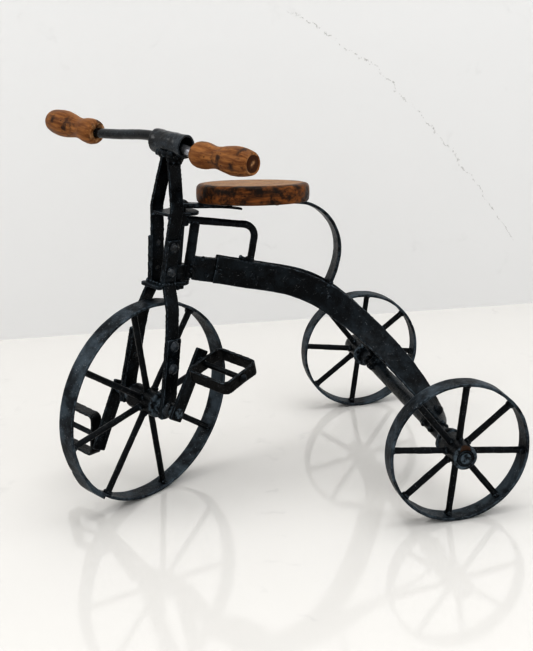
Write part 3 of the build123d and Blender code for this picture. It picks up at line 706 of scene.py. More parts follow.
# ---- shaping ------------------------------------------------------------------------------
class Bench:
    """Makes finished pieces: forged skins over CAD nodes, turned pieces and lumps of weld."""

    SEED_STEPS = (0.173, 0.291, 0.417)      # how far a seed shifts the noise along each axis
    FINE_MARKS, FINE_SHARE = 2.7, 0.5
    WELD_STEPS, WELD_RINGS = 16, 9
    WELD_SWELL = 0.32
    WELD_VOXEL, WELD_ROUNDS = 0.7, 2

    @staticmethod
    def body_of(node: str) -> str:
        """The body that a CAD node rides on.

        Args:
            node: The node's name.

        Returns:
            The body's name.
        """
        for body, nodes in frame["record"]["behaviour"]["bodies"].items():
            if node in nodes:
                return body
        raise KeyError(node)

    @classmethod
    def uneven(cls, points: np.ndarray, directions: np.ndarray, depth: float, scale: float,
               seed: float) -> np.ndarray:
        """Move points along their directions by smooth noise.

        Args:
            points: Points in metres.
            directions: Unit direction of each point.
            depth: Largest move in metres.
            scale: Noise size per metre.
            seed: Shifts the noise so that pieces differ.

        Returns:
            The moved points.
        """
        shift = Vector(cls.SEED_STEPS) * seed
        moves = np.empty(len(points))
        for i, point in enumerate(points):
            spot = Vector(point) * scale + shift
            moves[i] = noise.noise(spot) + cls.FINE_SHARE * noise.noise(spot * cls.FINE_MARKS)
        return points + directions * (moves * depth)[:, None]

    @staticmethod
    def finish(obj: bpy.types.Object, material: bpy.types.Material, body: str,
               slot: Slot) -> bpy.types.Object:
        """Dress a piece, smooth it and hang it on its body.

        Args:
            obj: The piece.
            material: Its finish.
            body: The body it rides on.
            slot: The record's material slot; not used.

        Returns:
            The piece.
        """
        obj.data.materials.clear()
        obj.data.materials.append(material)
        for face in obj.data.polygons:
            face.use_smooth = True
        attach(obj, body)
        LOG.info("%s on %s, %d faces", obj.name, body, len(obj.data.polygons))
        return obj

    @classmethod
    def remeshed(cls, name: str, mesh: bpy.types.Mesh, voxel: float, rounds: int) -> bpy.types.Object:
        """Close a mesh into an even skin with softened edges.

        Args:
            name: The new piece's name.
            mesh: The mesh to skin.
            voxel: Size of the skin's faces, in millimetres.
            rounds: How often the skin is smoothed.

        Returns:
            The new piece.
        """
        source = bpy.data.objects.new(name, mesh)
        bpy.context.scene.collection.objects.link(source)
        remesh = source.modifiers.new("skin", "REMESH")
        remesh.mode = "VOXEL"
        remesh.voxel_size = voxel * MM
        soften = source.modifiers.new("soften", "SMOOTH")
        soften.factor = 0.5
        soften.iterations = rounds
        graph = bpy.context.evaluated_depsgraph_get()
        skin = bpy.data.meshes.new_from_object(source.evaluated_get(graph))
        bpy.data.objects.remove(source)
        skin.name = name
        piece = bpy.data.objects.new(name, skin)
        bpy.context.scene.collection.objects.link(piece)
        return piece

    @classmethod
    def forge(cls, node: str, material: bpy.types.Material, slot: Slot, voxel: float = 0.95,
              rounds: int = 3,
              depth: float = 0.22, scale: float = 75.0, slack: float = 0.0) -> bpy.types.Object:
        """A hammered skin that stands for one CAD node.

        Args:
            node: The CAD node.
            material: The finish.
            slot: The record's material slot.
            voxel: Size of the skin's faces, in millimetres.
            rounds: How often the skin is smoothed.
            depth: Depth of the hammering, in millimetres.
            scale: Hammer marks per metre.
            slack: How far the skin is drawn in, in millimetres, where it turns in another piece.

        Returns:
            The new piece.
        """
        piece = cls.remeshed(f"{node}_forged", frame["nodes"][node].data.copy(), voxel, rounds)
        mesh = piece.data
        count = len(mesh.vertices)
        points = np.empty(count * 3)
        normals = np.empty(count * 3)
        mesh.vertices.foreach_get("co", points)
        mesh.vertex_normals.foreach_get("vector", normals)
        outward = normals.reshape(-1, 3)
        moved = cls.uneven(points.reshape(-1, 3), outward, depth * MM, scale, len(node))
        moved -= outward * (slack * MM)
        mesh.vertices.foreach_set("co", moved.ravel())
        mesh.update()
        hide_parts(node)
        return cls.finish(piece, material, cls.body_of(node), slot)

    @classmethod
    def turn(cls, name: str, profile: list, place: Matrix, segments: int, depth: float, scale: float,
             closed: bool = True, own_frame: bool = False) -> bpy.types.Object:
        """A piece turned round its own Z axis, with uneven faces where the profile says so.

        Args:
            name: The piece's name.
            profile: Points (along, radius, share of the unevenness), in millimetres.
            place: Where the piece goes, in metres.
            segments: Steps round the axis.
            depth: Unevenness in millimetres.
            scale: Marks per metre.
            closed: True where the profile is a loop.
            own_frame: True where the finish follows the piece's own axis.

        Returns:
            The new piece.
        """
        rows = len(profile)
        turns = np.linspace(0, 2 * math.pi, segments, endpoint=False)
        along = np.array([p[0] for p in profile]) * MM
        radii = np.array([p[1] for p in profile]) * MM
        share = np.tile([p[2] for p in profile], segments)
        outward = np.stack([np.repeat(np.cos(turns), rows), np.repeat(np.sin(turns), rows),
                            np.zeros(rows * segments)], axis=1)
        points = outward * np.tile(radii, segments)[:, None]
        points[:, 2] = np.tile(along, segments)
        bumped = cls.uneven(points, outward, depth * MM, scale, float(len(name)))
        points = points + (bumped - points) * share[:, None]
        faces = []
        for step in range(segments):
            after = (step + 1) % segments
            for row in range(rows if closed else rows - 1):
                up = (row + 1) % rows
                faces.append((step * rows + row, after * rows + row, after * rows + up, step * rows + up))
        if not closed:
            faces.append(tuple(step * rows for step in range(segments)))
            faces.append(tuple(step * rows + rows - 1 for step in reversed(range(segments))))
        mesh = bpy.data.meshes.new(name)
        mesh.from_pydata(points.tolist(), [], faces)
        mesh.update()
        piece = bpy.data.objects.new(name, mesh)
        bpy.context.scene.collection.objects.link(piece)
        if own_frame:
            piece.matrix_world = place
        else:
            mesh.transform(place)
        bpy.context.view_layer.update()
        return piece

    @classmethod
    def weld(cls, name: str, spots: list, body: str, material: bpy.types.Material) -> bpy.types.Object:
        """Lumps of weld, run together where they touch.

        Args:
            name: The piece's name.
            spots: Lumps as (centre in metres, radius in millimetres).
            body: The body it rides on.
            material: The finish.

        Returns:
            The new piece.
        """
        vertices, faces = [], []
        steps = cls.WELD_STEPS
        for index, (centre, radius) in enumerate(spots):
            start = len(vertices)
            shift = Vector((index * 3.1, 0.7, index * 1.3))
            for ring in range(cls.WELD_RINGS + 1):
                lat = math.pi * ring / cls.WELD_RINGS
                for step in range(steps):
                    lon = 2 * math.pi * step / steps
                    flat = math.sin(lat)
                    way = Vector((flat * math.cos(lon), flat * math.sin(lon), math.cos(lat)))
                    swell = 1 + cls.WELD_SWELL * noise.noise(way * 1.6 + shift)
                    vertices.append(Vector(centre) + way * (radius * MM * swell))
            for ring in range(cls.WELD_RINGS):
                row, below = start + ring * steps, start + (ring + 1) * steps
                for step in range(steps):
                    after = (step + 1) % steps
                    faces.append((row + step, below + step, below + after, row + after))
        mesh = bpy.data.meshes.new(name)
        mesh.from_pydata(vertices, [], faces)
        piece = cls.remeshed(name, mesh, cls.WELD_VOXEL, cls.WELD_ROUNDS)
        return cls.finish(piece, material, body, Slot.IRON)


@dataclass(frozen=True)
class ForkFrame:
    """The steered frame: X along the front axle, Z up the steering axis, in millimetres."""

    origin: Vector
    across: Vector
    back: Vector
    up: Vector

    @classmethod
    def from_record(cls) -> "ForkFrame":
        """Read the frame from the steering and front wheel joints.

        Returns:
            The steered frame.
        """
        joints = {joint["name"]: joint for joint in frame["joints"]}
        up = Vector(joints["steering"]["axis"])
        across = Vector(joints["front_wheel_spin"]["axis"])
        return cls(Vector(joints["steering"]["pos_m"]), across, up.cross(across), up)

    def at(self, x: float, y: float, z: float) -> Vector:
        """A fork point as a world point in metres.

        Args:
            x: Along the front axle, to the rider's left.
            y: To the rear.
            z: Up the steering axis.

        Returns:
            The world point.
        """
        return self.origin + (self.across * x + self.back * y + self.up * z) * MM

    def placed(self, base: Vector, along: Vector) -> Matrix:
        """A matrix that puts Z along a direction of this frame.

        Args:
            base: World point of the piece's origin.
            along: World direction of its Z axis.

        Returns:
            The placing matrix.
        """
        side = self.back - along * self.back.dot(along)
        side.normalize()
        other = along.cross(side)
        return Matrix.Translation(base) @ Matrix((side, other, along)).transposed().to_4x4()


# ---- sub-assemblies -----------------------------------------------------------------------
@dataclass
class SpokedWheel:
    """A flat-banded wheel: rim with hammered tread, rod spokes, turned hub and welded joints."""

    body: str
    joint: str
    rim_node: str
    spokes_node: str
    hub_node: str
    radius: float
    width: float
    hub_radius: float
    hub_span: tuple
    hub_bore: float
    spoke_shift: float = 0.0
    band: float = 3.0
    spoke_count: int = 8
    rounding: float = 1.1
    nick: float = 0.25
    rim_weld: float = 3.1
    rim_weld_apart: float = 2.4
    recess: tuple | None = None
    outward: int = 1
    hub_weld: float = 3.7

    def __post_init__(self) -> None:
        """Read the wheel's centre and axis from its joint."""
        joint = next(j for j in frame["joints"] if j["name"] == self.joint)
        self.centre = Vector(joint["pos_m"])
        self.axis = Vector(joint["axis"])
        self.side = (Vector((0, 0, 1)) - self.axis * self.axis.z).normalized()
        out = self.axis * self.outward
        turned = Matrix((self.side, out.cross(self.side), out)).transposed().to_4x4()
        self.place = Matrix.Translation(self.centre) @ turned

    def rust_spot(self) -> Vector:
        """A point on the hub's outer face, above its middle, where rust has started."""
        out = self.axis * self.outward
        return self.centre + (out * self.hub_span[1] + self.side * 8.5) * MM

    def spoke_ways(self) -> list[Vector]:
        """Unit directions of the spokes, read from the CAD spokes.

        Returns:
            One direction for each spoke.
        """
        other = self.axis.cross(self.side)
        total = 0j
        for vertex in frame["nodes"][self.spokes_node].data.vertices:
            arm = vertex.co - self.centre
            reach = complex(arm.dot(self.side), arm.dot(other))
            if abs(reach) > 0.8 * self.radius * MM:
                total += (reach / abs(reach)) ** self.spoke_count
        first = math.atan2(total.imag, total.real) / self.spoke_count
        ways = []
        for i in range(self.spoke_count):
            angle = first + 2 * math.pi * i / self.spoke_count
            ways.append(self.side * math.cos(angle) + other * math.sin(angle))
        return ways

    def build_rim(self, material: bpy.types.Material) -> None:
        """The band, its tread hammered inward and its edges rounded over.

        Args:
            material: Its finish.
        """
        half, outer, inner = self.width / 2, self.radius, self.radius - self.band
        across = np.linspace(-half + 0.9, half - 0.9, 9)
        edge = [(half - self.nick, outer - 0.35, 0.7), (half, outer - self.rounding, 0.5),
                (half, inner + self.rounding, 0.5), (half - self.nick, inner + 0.3, 0.7)]
        profile = [(float(x), outer - 0.12, 1.0) for x in across] + edge
        profile += [(float(x), inner, 1.0) for x in across[::-1]]
        profile += [(-x, r, share) for x, r, share in reversed(edge)]
        rim = Bench.turn(f"{self.rim_node}_band", profile, self.place, 360, 0.34, 62.0)
        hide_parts(self.rim_node)
        Bench.finish(rim, material, self.body, Slot.RIM)

    def build_hub(self, material: bpy.types.Material) -> None:
        """The hub, a heavy turned tube with a rounded outer end.

        Args:
            material: Its finish.
        """
        low, high = self.hub_span
        r, bore = self.hub_radius, self.hub_bore
        body = [(low, bore, 0.0), (low, r - 1.2, 0.4), (low + 1.0, r - 0.2, 0.8)]
        body += [(low + (high - low) * share, r - 0.1, 1.0) for share in np.linspace(0.12, 0.88, 9)]
        body += [(high - 1.0, r - 0.2, 0.8), (high, r - 1.2, 0.4)]
        if self.recess is not None:
            wide, deep = self.recess
            body += [(high, wide + 0.5, 0.2), (high - 0.5, wide, 0.1), (high - deep, wide, 0.0)]
            body += [(high - deep, bore, 0.0)]
        else:
            body += [(high, bore, 0.0)]
        hub = Bench.turn(f"{self.hub_node}_turned", body, self.place, 96, 0.28, 120.0)
        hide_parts(self.hub_node)
        Bench.finish(hub, material, self.body, Slot.IRON)

    def build(self, rim: bpy.types.Material, spoke: bpy.types.Material, hub: bpy.types.Material) -> None:
        """Make every piece of the wheel.

        Args:
            rim: Finish of the band.
            spoke: Finish of spokes and welds.
            hub: Finish of the hub.
        """
        self.build_rim(rim)
        Bench.forge(self.spokes_node, spoke, Slot.SPOKE, voxel=0.85, depth=0.25, scale=60.0)
        self.build_hub(hub)
        rim_spots, hub_spots = [], []
        shift = self.axis * (self.spoke_shift * MM)
        for way in self.spoke_ways():
            end = self.centre + shift + way * ((self.radius - self.band - 1.0) * MM)
            for sign in (-1, 1):
                rim_spots.append((end + self.axis * (sign * self.rim_weld_apart * MM), self.rim_weld))
            root = self.centre + shift + way * ((self.hub_radius + 0.6) * MM)
            hub_spots.append((root, self.hub_weld))
            hub_spots.append((root + self.axis * (2.6 * MM), self.hub_weld * 0.7))
        Bench.weld(f"{self.body}_rim_welds", rim_spots, self.body, spoke)
        Bench.weld(f"{self.body}_hub_welds", hub_spots, self.body, spoke)


@dataclass
class FrontDrive:
    """Cranks, pedals and the rim's lap joint of the driven wheel."""

    wheel: SpokedWheel
    forged: tuple = ("crank_left", "crank_right")
    pedals: tuple = ("pedal_band_left", "pedal_band_right")
    spindles: tuple = ("pedal_spindle_left", "pedal_spindle_right")
    lap_start: float = 40.0
    lap_length: float = 24.0
    lap_thick: float = 2.6
    lap_steps: int = 24
    lap_overhang: float = 0.6
    lap_bite: float = 0.8
    crank_face: float = 45.9
    spindle_root: float = 46.6

    def build(self, iron: bpy.types.Material, pedal: bpy.types.Material, rim: bpy.types.Material) -> None:
        """Make cranks, pedals, spindle ends and welds.

        Args:
            iron: Finish of the cranks.
            pedal: Finish of the pedal bands.
            rim: Finish of the rim's lap joint.
        """
        for node in self.forged:
            Bench.forge(node, iron, Slot.IRON, voxel=0.7, depth=0.2)
        for node in self.pedals:
            Bench.forge(node, pedal, Slot.IRON, voxel=0.75, depth=0.22)
        for node in self.spindles:
            Bench.forge(node, iron, Slot.IRON, voxel=0.5, rounds=2, depth=0.05, slack=0.3)
        self.build_welds(iron)
        self.build_lap(rim)

    def weld_ring(self, middle: Vector, radius: float, count: int, lump: float, start: float = 0.0) -> list:
        """Lumps of weld in a ring square to the wheel's axis.

        Args:
            middle: World point in the ring's middle.
            radius: The ring's radius in millimetres.
            count: How many lumps.
            lump: Radius of a lump in millimetres.
            start: Angle of the first lump in radians.

        Returns:
            The lumps, for Bench.weld.
        """
        other = self.wheel.axis.cross(self.wheel.side)
        spots = []
        for step in range(count):
            angle = 2 * math.pi * step / count + start
            way = self.wheel.side * math.cos(angle) + other * math.sin(angle)
            spots.append((middle + way * (radius * MM), lump))
        return spots

    def build_welds(self, iron: bpy.types.Material) -> None:
        """Welds where the cranks meet the axle and the spindles.

        Args:
            iron: Their finish.
        """
        spots = []
        axis = self.wheel.axis
        for side, sign in (("left", 1), ("right", -1)):
            face = self.wheel.centre + axis * (sign * self.crank_face * MM)
            spots += self.weld_ring(face, 4.6, 7, 1.2)
            joint = next(j for j in frame["joints"] if j["name"] == f"pedal_{side}_spin")
            spindle = Vector(joint["pos_m"])
            spindle -= axis * (spindle - self.wheel.centre).dot(axis)
            spots += self.weld_ring(spindle + axis * (sign * self.spindle_root * MM), 3.4, 6, 1.6, 0.4)
        Bench.weld("crank_welds", spots, self.wheel.body, iron)

    def build_lap(self, iron: bpy.types.Material) -> None:
        """The rim's end lapped over the tread, with rounded corners, low at the front.

        Args:
            iron: Its finish.
        """
        way_down = self.wheel.axis.cross(Vector((0, 1, 0)))
        way_down.normalize()
        if way_down.z > 0:
            way_down.negate()
        forward = self.wheel.axis.cross(way_down)
        if forward.y > 0:
            forward.negate()
        outer = self.wheel.radius
        vertices, faces = [], []
        for step in range(self.lap_steps + 1):
            share = step / self.lap_steps
            angle = math.radians(self.lap_start + self.lap_length * share)
            way = way_down * math.cos(angle) + forward * math.sin(angle)
            corner = min(share / 0.18, 1.0)
            half = (self.wheel.width / 2 + self.lap_overhang) * (1 - 0.45 * (1 - corner) ** 2)
            rise = self.lap_thick * (1 - max(share - 0.55, 0) / 0.45)
            foot, crest = outer - self.lap_bite, outer + rise
            for radius, side in ((foot, -1), (foot, 1), (crest, 1), (crest, -1)):
                aside = self.wheel.axis * (side * half * MM)
                vertices.append(self.wheel.centre + way * (radius * MM) + aside)
        for step in range(self.lap_steps):
            for edge in range(4):
                a, b = step * 4 + edge, step * 4 + (edge + 1) % 4
                faces.append((a, b, b + 4, a + 4))
        end = self.lap_steps * 4
        faces.append((3, 2, 1, 0))
        faces.append((end, end + 1, end + 2, end + 3))
        mesh = bpy.data.meshes.new("front_rim_lap")
        mesh.from_pydata(vertices, [], faces)
        piece = Bench.remeshed("front_rim_lap", mesh, 0.5, 2)
        Bench.finish(piece, iron, self.wheel.body, Slot.RIM)


@dataclass
class Fork:
    """Bars, doublers, plates, rivets, clamp, handlebar and grips."""

    seat: ForkFrame
    bars: tuple = ("fork_upper_bar", "fork_lower_bar", "fork_doubler")
    heads: tuple = ("blade_rivets", "doubler_rivets", "axle_boss")
    plates: tuple = ("yoke_plate_upper", "yoke_plate_lower")
    # along the grip from its inner end, and the radius there
    grip_profile: tuple = (
        (0.0, 9.6), (0.6, 10.4), (3.0, 11.8), (6.5, 12.6), (11.0, 12.7), (16.0, 12.2), (21.5, 10.9),
        (27.0, 10.2), (33.0, 10.7), (41.0, 12.4), (49.0, 13.5), (56.0, 13.5), (62.0, 12.8), (66.5, 12.0),
        (70.2, 10.9), (71.5, 10.2), (72.0, 9.4))
    grip_bore: float = 5.0
    grip_bases: tuple = (("left", 1, (34.0, -21.5, 354.9)), ("right", -1, (-108.0, -21.5, 353.5)))
    grip_rise: float = 2.0
    end_disc: float = 8.0
    # lumps of weld under the clamp: x, y, z in the fork's frame, and radius
    clamp_welds: tuple = (
        (-8.5, -29.0, 350.6, 3.6), (-3.5, -31.0, 351.0, 3.4), (2.0, -30.5, 350.4, 3.6),
        (7.5, -29.0, 350.6, 4.0), (9.5, -24.0, 349.0, 4.2), (10.0, -18.5, 349.0, 4.4),
        (8.0, -13.0, 350.6, 4.2), (2.0, -11.4, 351.0, 3.6), (-4.0, -11.8, 350.8, 3.6),
        (-9.0, -14.5, 350.4, 3.8), (-10.5, -20.5, 349.0, 4.2), (-9.5, -25.5, 349.2, 3.6),
        (7.2, -24.5, 344.5, 3.6), (7.6, -18.0, 343.5, 3.8), (6.6, -14.6, 345.0, 3.4),
        (-6.8, -24.0, 344.0, 3.4), (-7.0, -17.5, 343.8, 3.6), (5.6, -28.2, 345.5, 3.0),
        (15.5, -17.0, 350.6, 2.6), (-15.5, -25.0, 350.6, 2.6))
    plate_beads: tuple = ((11.2, 290.3), (12.6, 224.4))     # x and z of the beads along each plate
    bead: float = 1.8

    def build(self, iron: bpy.types.Material, head: bpy.types.Material, bar: bpy.types.Material,
              wood: bpy.types.Material) -> None:
        """Make every piece of the fork.

        Args:
            iron: Finish of the bars.
            head: Finish of the rivet heads.
            bar: Finish of the handlebar.
            wood: Finish of the grips.
        """
        for side in ("left", "right"):
            for stem in self.bars:
                Bench.forge(f"{stem}_{side}", iron, Slot.IRON, voxel=0.8, depth=0.3, scale=60.0)
            for stem in self.heads:
                Bench.forge(f"{stem}_{side}", head, Slot.IRON, voxel=0.5, rounds=1, depth=0.45,
                            scale=130.0)
        for node in self.plates:
            Bench.forge(node, iron, Slot.IRON, voxel=0.7, depth=0.2)
        Bench.forge("handlebar_clamp", head, Slot.IRON, voxel=0.6, rounds=2, depth=0.6,
                    scale=80.0)
        Bench.forge("handlebar", bar, Slot.IRON, voxel=0.8, depth=0.15)
        self.build_grips(wood)
        self.build_welds(iron)

    def build_grips(self, wood: bpy.types.Material) -> None:
        """The two turned grips, with a scribed end and softened shoulders.

        Args:
            wood: Their finish.
        """
        rise = math.radians(self.grip_rise)
        for side, sign, corner in self.grip_bases:
            base = self.seat.at(*corner)
            along = self.seat.across * (sign * math.cos(rise)) + self.seat.up * math.sin(rise)
            profile = [(0.0, self.grip_bore, 0.0)]
            knots = self.grip_profile
            for (a, ra), (b, rb) in zip(knots, knots[1:]):
                for part in (0.0, 0.5):
                    profile.append((a + (b - a) * part, ra + (rb - ra) * part, 1.0))
            profile += [(72.0, 9.4, 0.6), (71.9, self.end_disc + 0.5, 0.3), (71.3, self.end_disc, 0.2),
                        (71.5, self.end_disc - 0.8, 0.2), (71.6, 3.0, 0.1), (71.5, 0.15, 0.0),
                        (60.0, 0.15, 0.0), (60.0, self.grip_bore, 0.0)]
            place = self.seat.placed(base, along)
            grip = Bench.turn(f"grip_{side}_turned", profile, place, 96, 0.32, 75.0, own_frame=True)
            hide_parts(f"grip_{side}")
            Bench.finish(grip, wood, "fork", Slot.WOOD)

    def build_welds(self, iron: bpy.types.Material) -> None:
        """Welds under the clamp, along the plates and at the boss feet.

        Args:
            iron: Their finish.
        """
        spots = [(self.seat.at(x, y, z), r) for x, y, z, r in self.clamp_welds]
        for sign in (-1, 1):
            for y in range(-28, -12, 4):
                spots += [(self.seat.at(sign * x, y, z), self.bead) for x, z in self.plate_beads]
            for x in (2.0, 7.0, 11.5):
                spots.append((self.seat.at(sign * x, -29.6, 224.0), 1.7))
        Bench.weld("fork_welds", spots, "fork", iron)


@dataclass
class Backbone:
    """Straps, block, tongue, head rods, seat strap and the rear axle's fixed pieces."""

    forged: tuple = ("backbone_strap_left", "backbone_strap_right", "seat_strap", "brace_rod", "head_rod",
                     "backbone_tongue", "strap_block", "rear_beam")
    fine: tuple = ("seat_leaf", "head_eye", "tongue_eye", "strap_bolts", "steering_pin_nut",
                   "backbone_rivets", "axle_end_washers")
    collar_radius: float = 13.6
    collar_width: float = 4.6
    collar_edge: float = 12.2
    axle_height: float = 70.0
    beam_radius: float = 7.6
    # lumps of weld on the middle plane: x, forward of the rear axle (negative), height, and radius
    head_welds: tuple = (
        (0.0, -161.8, 233.5, 5.2), (2.6, -163.0, 232.0, 4.2), (-2.6, -160.4, 232.0, 4.2),
        (0.6, -168.5, 236.0, 2.6), (0.6, -170.6, 238.6, 2.0), (0.0, -227.0, 283.5, 4.6),
        (2.5, -222.5, 281.5, 3.8), (-2.5, -222.5, 281.5, 3.8), (3.6, -221.5, 230.0, 3.8),
        (-3.6, -221.5, 230.0, 3.8), (3.2, -220.0, 238.0, 4.2), (-3.2, -220.0, 238.0, 4.2),
        (3.4, -206.5, 224.0, 2.4), (-3.4, -206.5, 224.0, 2.4), (3.0, -209.0, 240.8, 2.6),
        (0.0, -215.5, 278.5, 4.0))
    block_welds: tuple = (
        (7.0, -79.0, 204.0, 2.6), (2.5, -79.0, 204.5, 2.4), (13.0, -84.0, 203.0, 2.4),
        (16.5, -84.0, 192.0, 2.6))
    beam_welds: tuple = ((84.0, 3.0), (88.5, 3.4), (104.5, 2.8))     # along the beam, and radius

    def build(self, iron: bpy.types.Material, rear: bpy.types.Material) -> None:
        """Make every iron piece of the frame.

        Args:
            iron: Finish of the straps and rods.
            rear: Finish of the collars on the rear axle.
        """
        for node in self.forged:
            Bench.forge(node, iron, Slot.IRON, voxel=0.95, depth=0.36, scale=55.0)
        for node in self.fine:
            Bench.forge(node, iron, Slot.IRON, voxel=0.5, rounds=2, depth=0.12, scale=120.0)
        Bench.forge("steering_pin", iron, Slot.IRON, voxel=0.5, rounds=2, depth=0.08, slack=0.35)
        self.build_collars(rear)
        self.build_welds(iron)

    def rear_axle(self) -> Vector:
        """The middle of the rear axle.

        Returns:
            Its world point.
        """
        low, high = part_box("rear_axle")
        return (Vector(low) + Vector(high)) / 2

    def build_collars(self, iron: bpy.types.Material) -> None:
        """Heavy hammered collars against the inner ends of the rear hubs.

        Args:
            iron: Their finish.
        """
        low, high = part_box("axle_collars")
        half = (high[0] - low[0]) / 2 / MM
        start, r = half - self.collar_width, self.collar_radius
        profile = [(start, self.beam_radius, 0), (start, self.collar_edge, 0.6), (start + 0.9, r - 0.4, 1),
                   (half - 2.2, r - 0.2, 1), (half - 0.9, r - 0.5, 1), (half, self.collar_edge, 0.3),
                   (half, self.beam_radius, 0)]
        up = Vector((0, 0, 1))
        for side, sign in (("left", 1), ("right", -1)):
            axis = Vector((sign, 0, 0))
            turned = Matrix((up, axis.cross(up), axis)).transposed().to_4x4()
            place = Matrix.Translation(self.rear_axle()) @ turned
            collar = Bench.turn(f"axle_collar_{side}_turned", profile, place, 80, 0.7, 110.0)
            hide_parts("axle_collars")
            Bench.finish(collar, iron, "frame", Slot.IRON)

    def build_welds(self, iron: bpy.types.Material) -> None:
        """Welds at the brace rod's foot and top, the tongue, the block and the strap ends.

        Args:
            iron: Their finish.
        """
        axle = self.rear_axle()
        spots = []
        for x, back, z, r in self.head_welds:
            spots.append((axle + Vector((x, back, z - self.axle_height)) * MM, r))
        for sign in (-1, 1):
            for x, back, z, r in self.block_welds:
                spots.append((axle + Vector((sign * x, back, z - self.axle_height)) * MM, r))
            for step in range(7):
                angle = math.radians(-60 + step * 38)
                arm = Vector((0, math.cos(angle), math.sin(angle))) * ((self.beam_radius + 1.0) * MM)
                for x, r in self.beam_welds:
                    spots.append((axle + Vector((sign * x * MM, 0, 0)) + arm, r))
        Bench.weld("frame_welds", spots, "frame", iron)


@dataclass
class WoodenSeat:
    """The round wooden seat, its edge rounded by use."""

    centre_back: float = 155.0
    top: float = 312.3
    lean: float = 6.5
    fall: float = 3.1
    # height from the top face, and the radius there
    profile: tuple = (
        (-18.5, 0.2), (-18.6, 30.0), (-18.5, 51.0), (-18.0, 53.8), (-16.4, 55.2), (-13.0, 55.7),
        (-9.0, 55.8), (-5.5, 55.7), (-3.0, 55.2), (-1.6, 54.4), (-0.7, 53.0), (-0.2, 50.8), (-0.2, 44.0),
        (-0.35, 30.0), (-0.5, 14.0), (-0.5, 0.2))

    def build(self, wood: bpy.types.Material) -> None:
        """Make the seat.

        Args:
            wood: Its finish.
        """
        low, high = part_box("rear_axle")
        axle_y = (low[1] + high[1]) / 2
        fall = Matrix.Rotation(math.radians(-self.fall), 3, "X")
        tilt = fall @ Matrix.Rotation(math.radians(-self.lean), 3, "Y")
        up = tilt @ Vector((0, 0, 1))
        across = tilt @ Vector((1, 0, 0))
        base = Vector((0, axle_y - self.centre_back * MM, self.top * MM))
        place = Matrix.Translation(base) @ Matrix((across, up.cross(across), up)).transposed().to_4x4()
        rows = []
        for (a, ra), (b, rb) in zip(self.profile, self.profile[1:]):
            for part in (0.0, 0.5):
                rows.append((a + (b - a) * part, ra + (rb - ra) * part, 1.0))
        rows.append((*self.profile[-1], 0.0))
        seat = Bench.turn("seat_turned", rows, place, 180, 0.35, 48.0, closed=False, own_frame=True)
        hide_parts("seat")
        Bench.finish(seat, wood, "frame", Slot.SEAT)


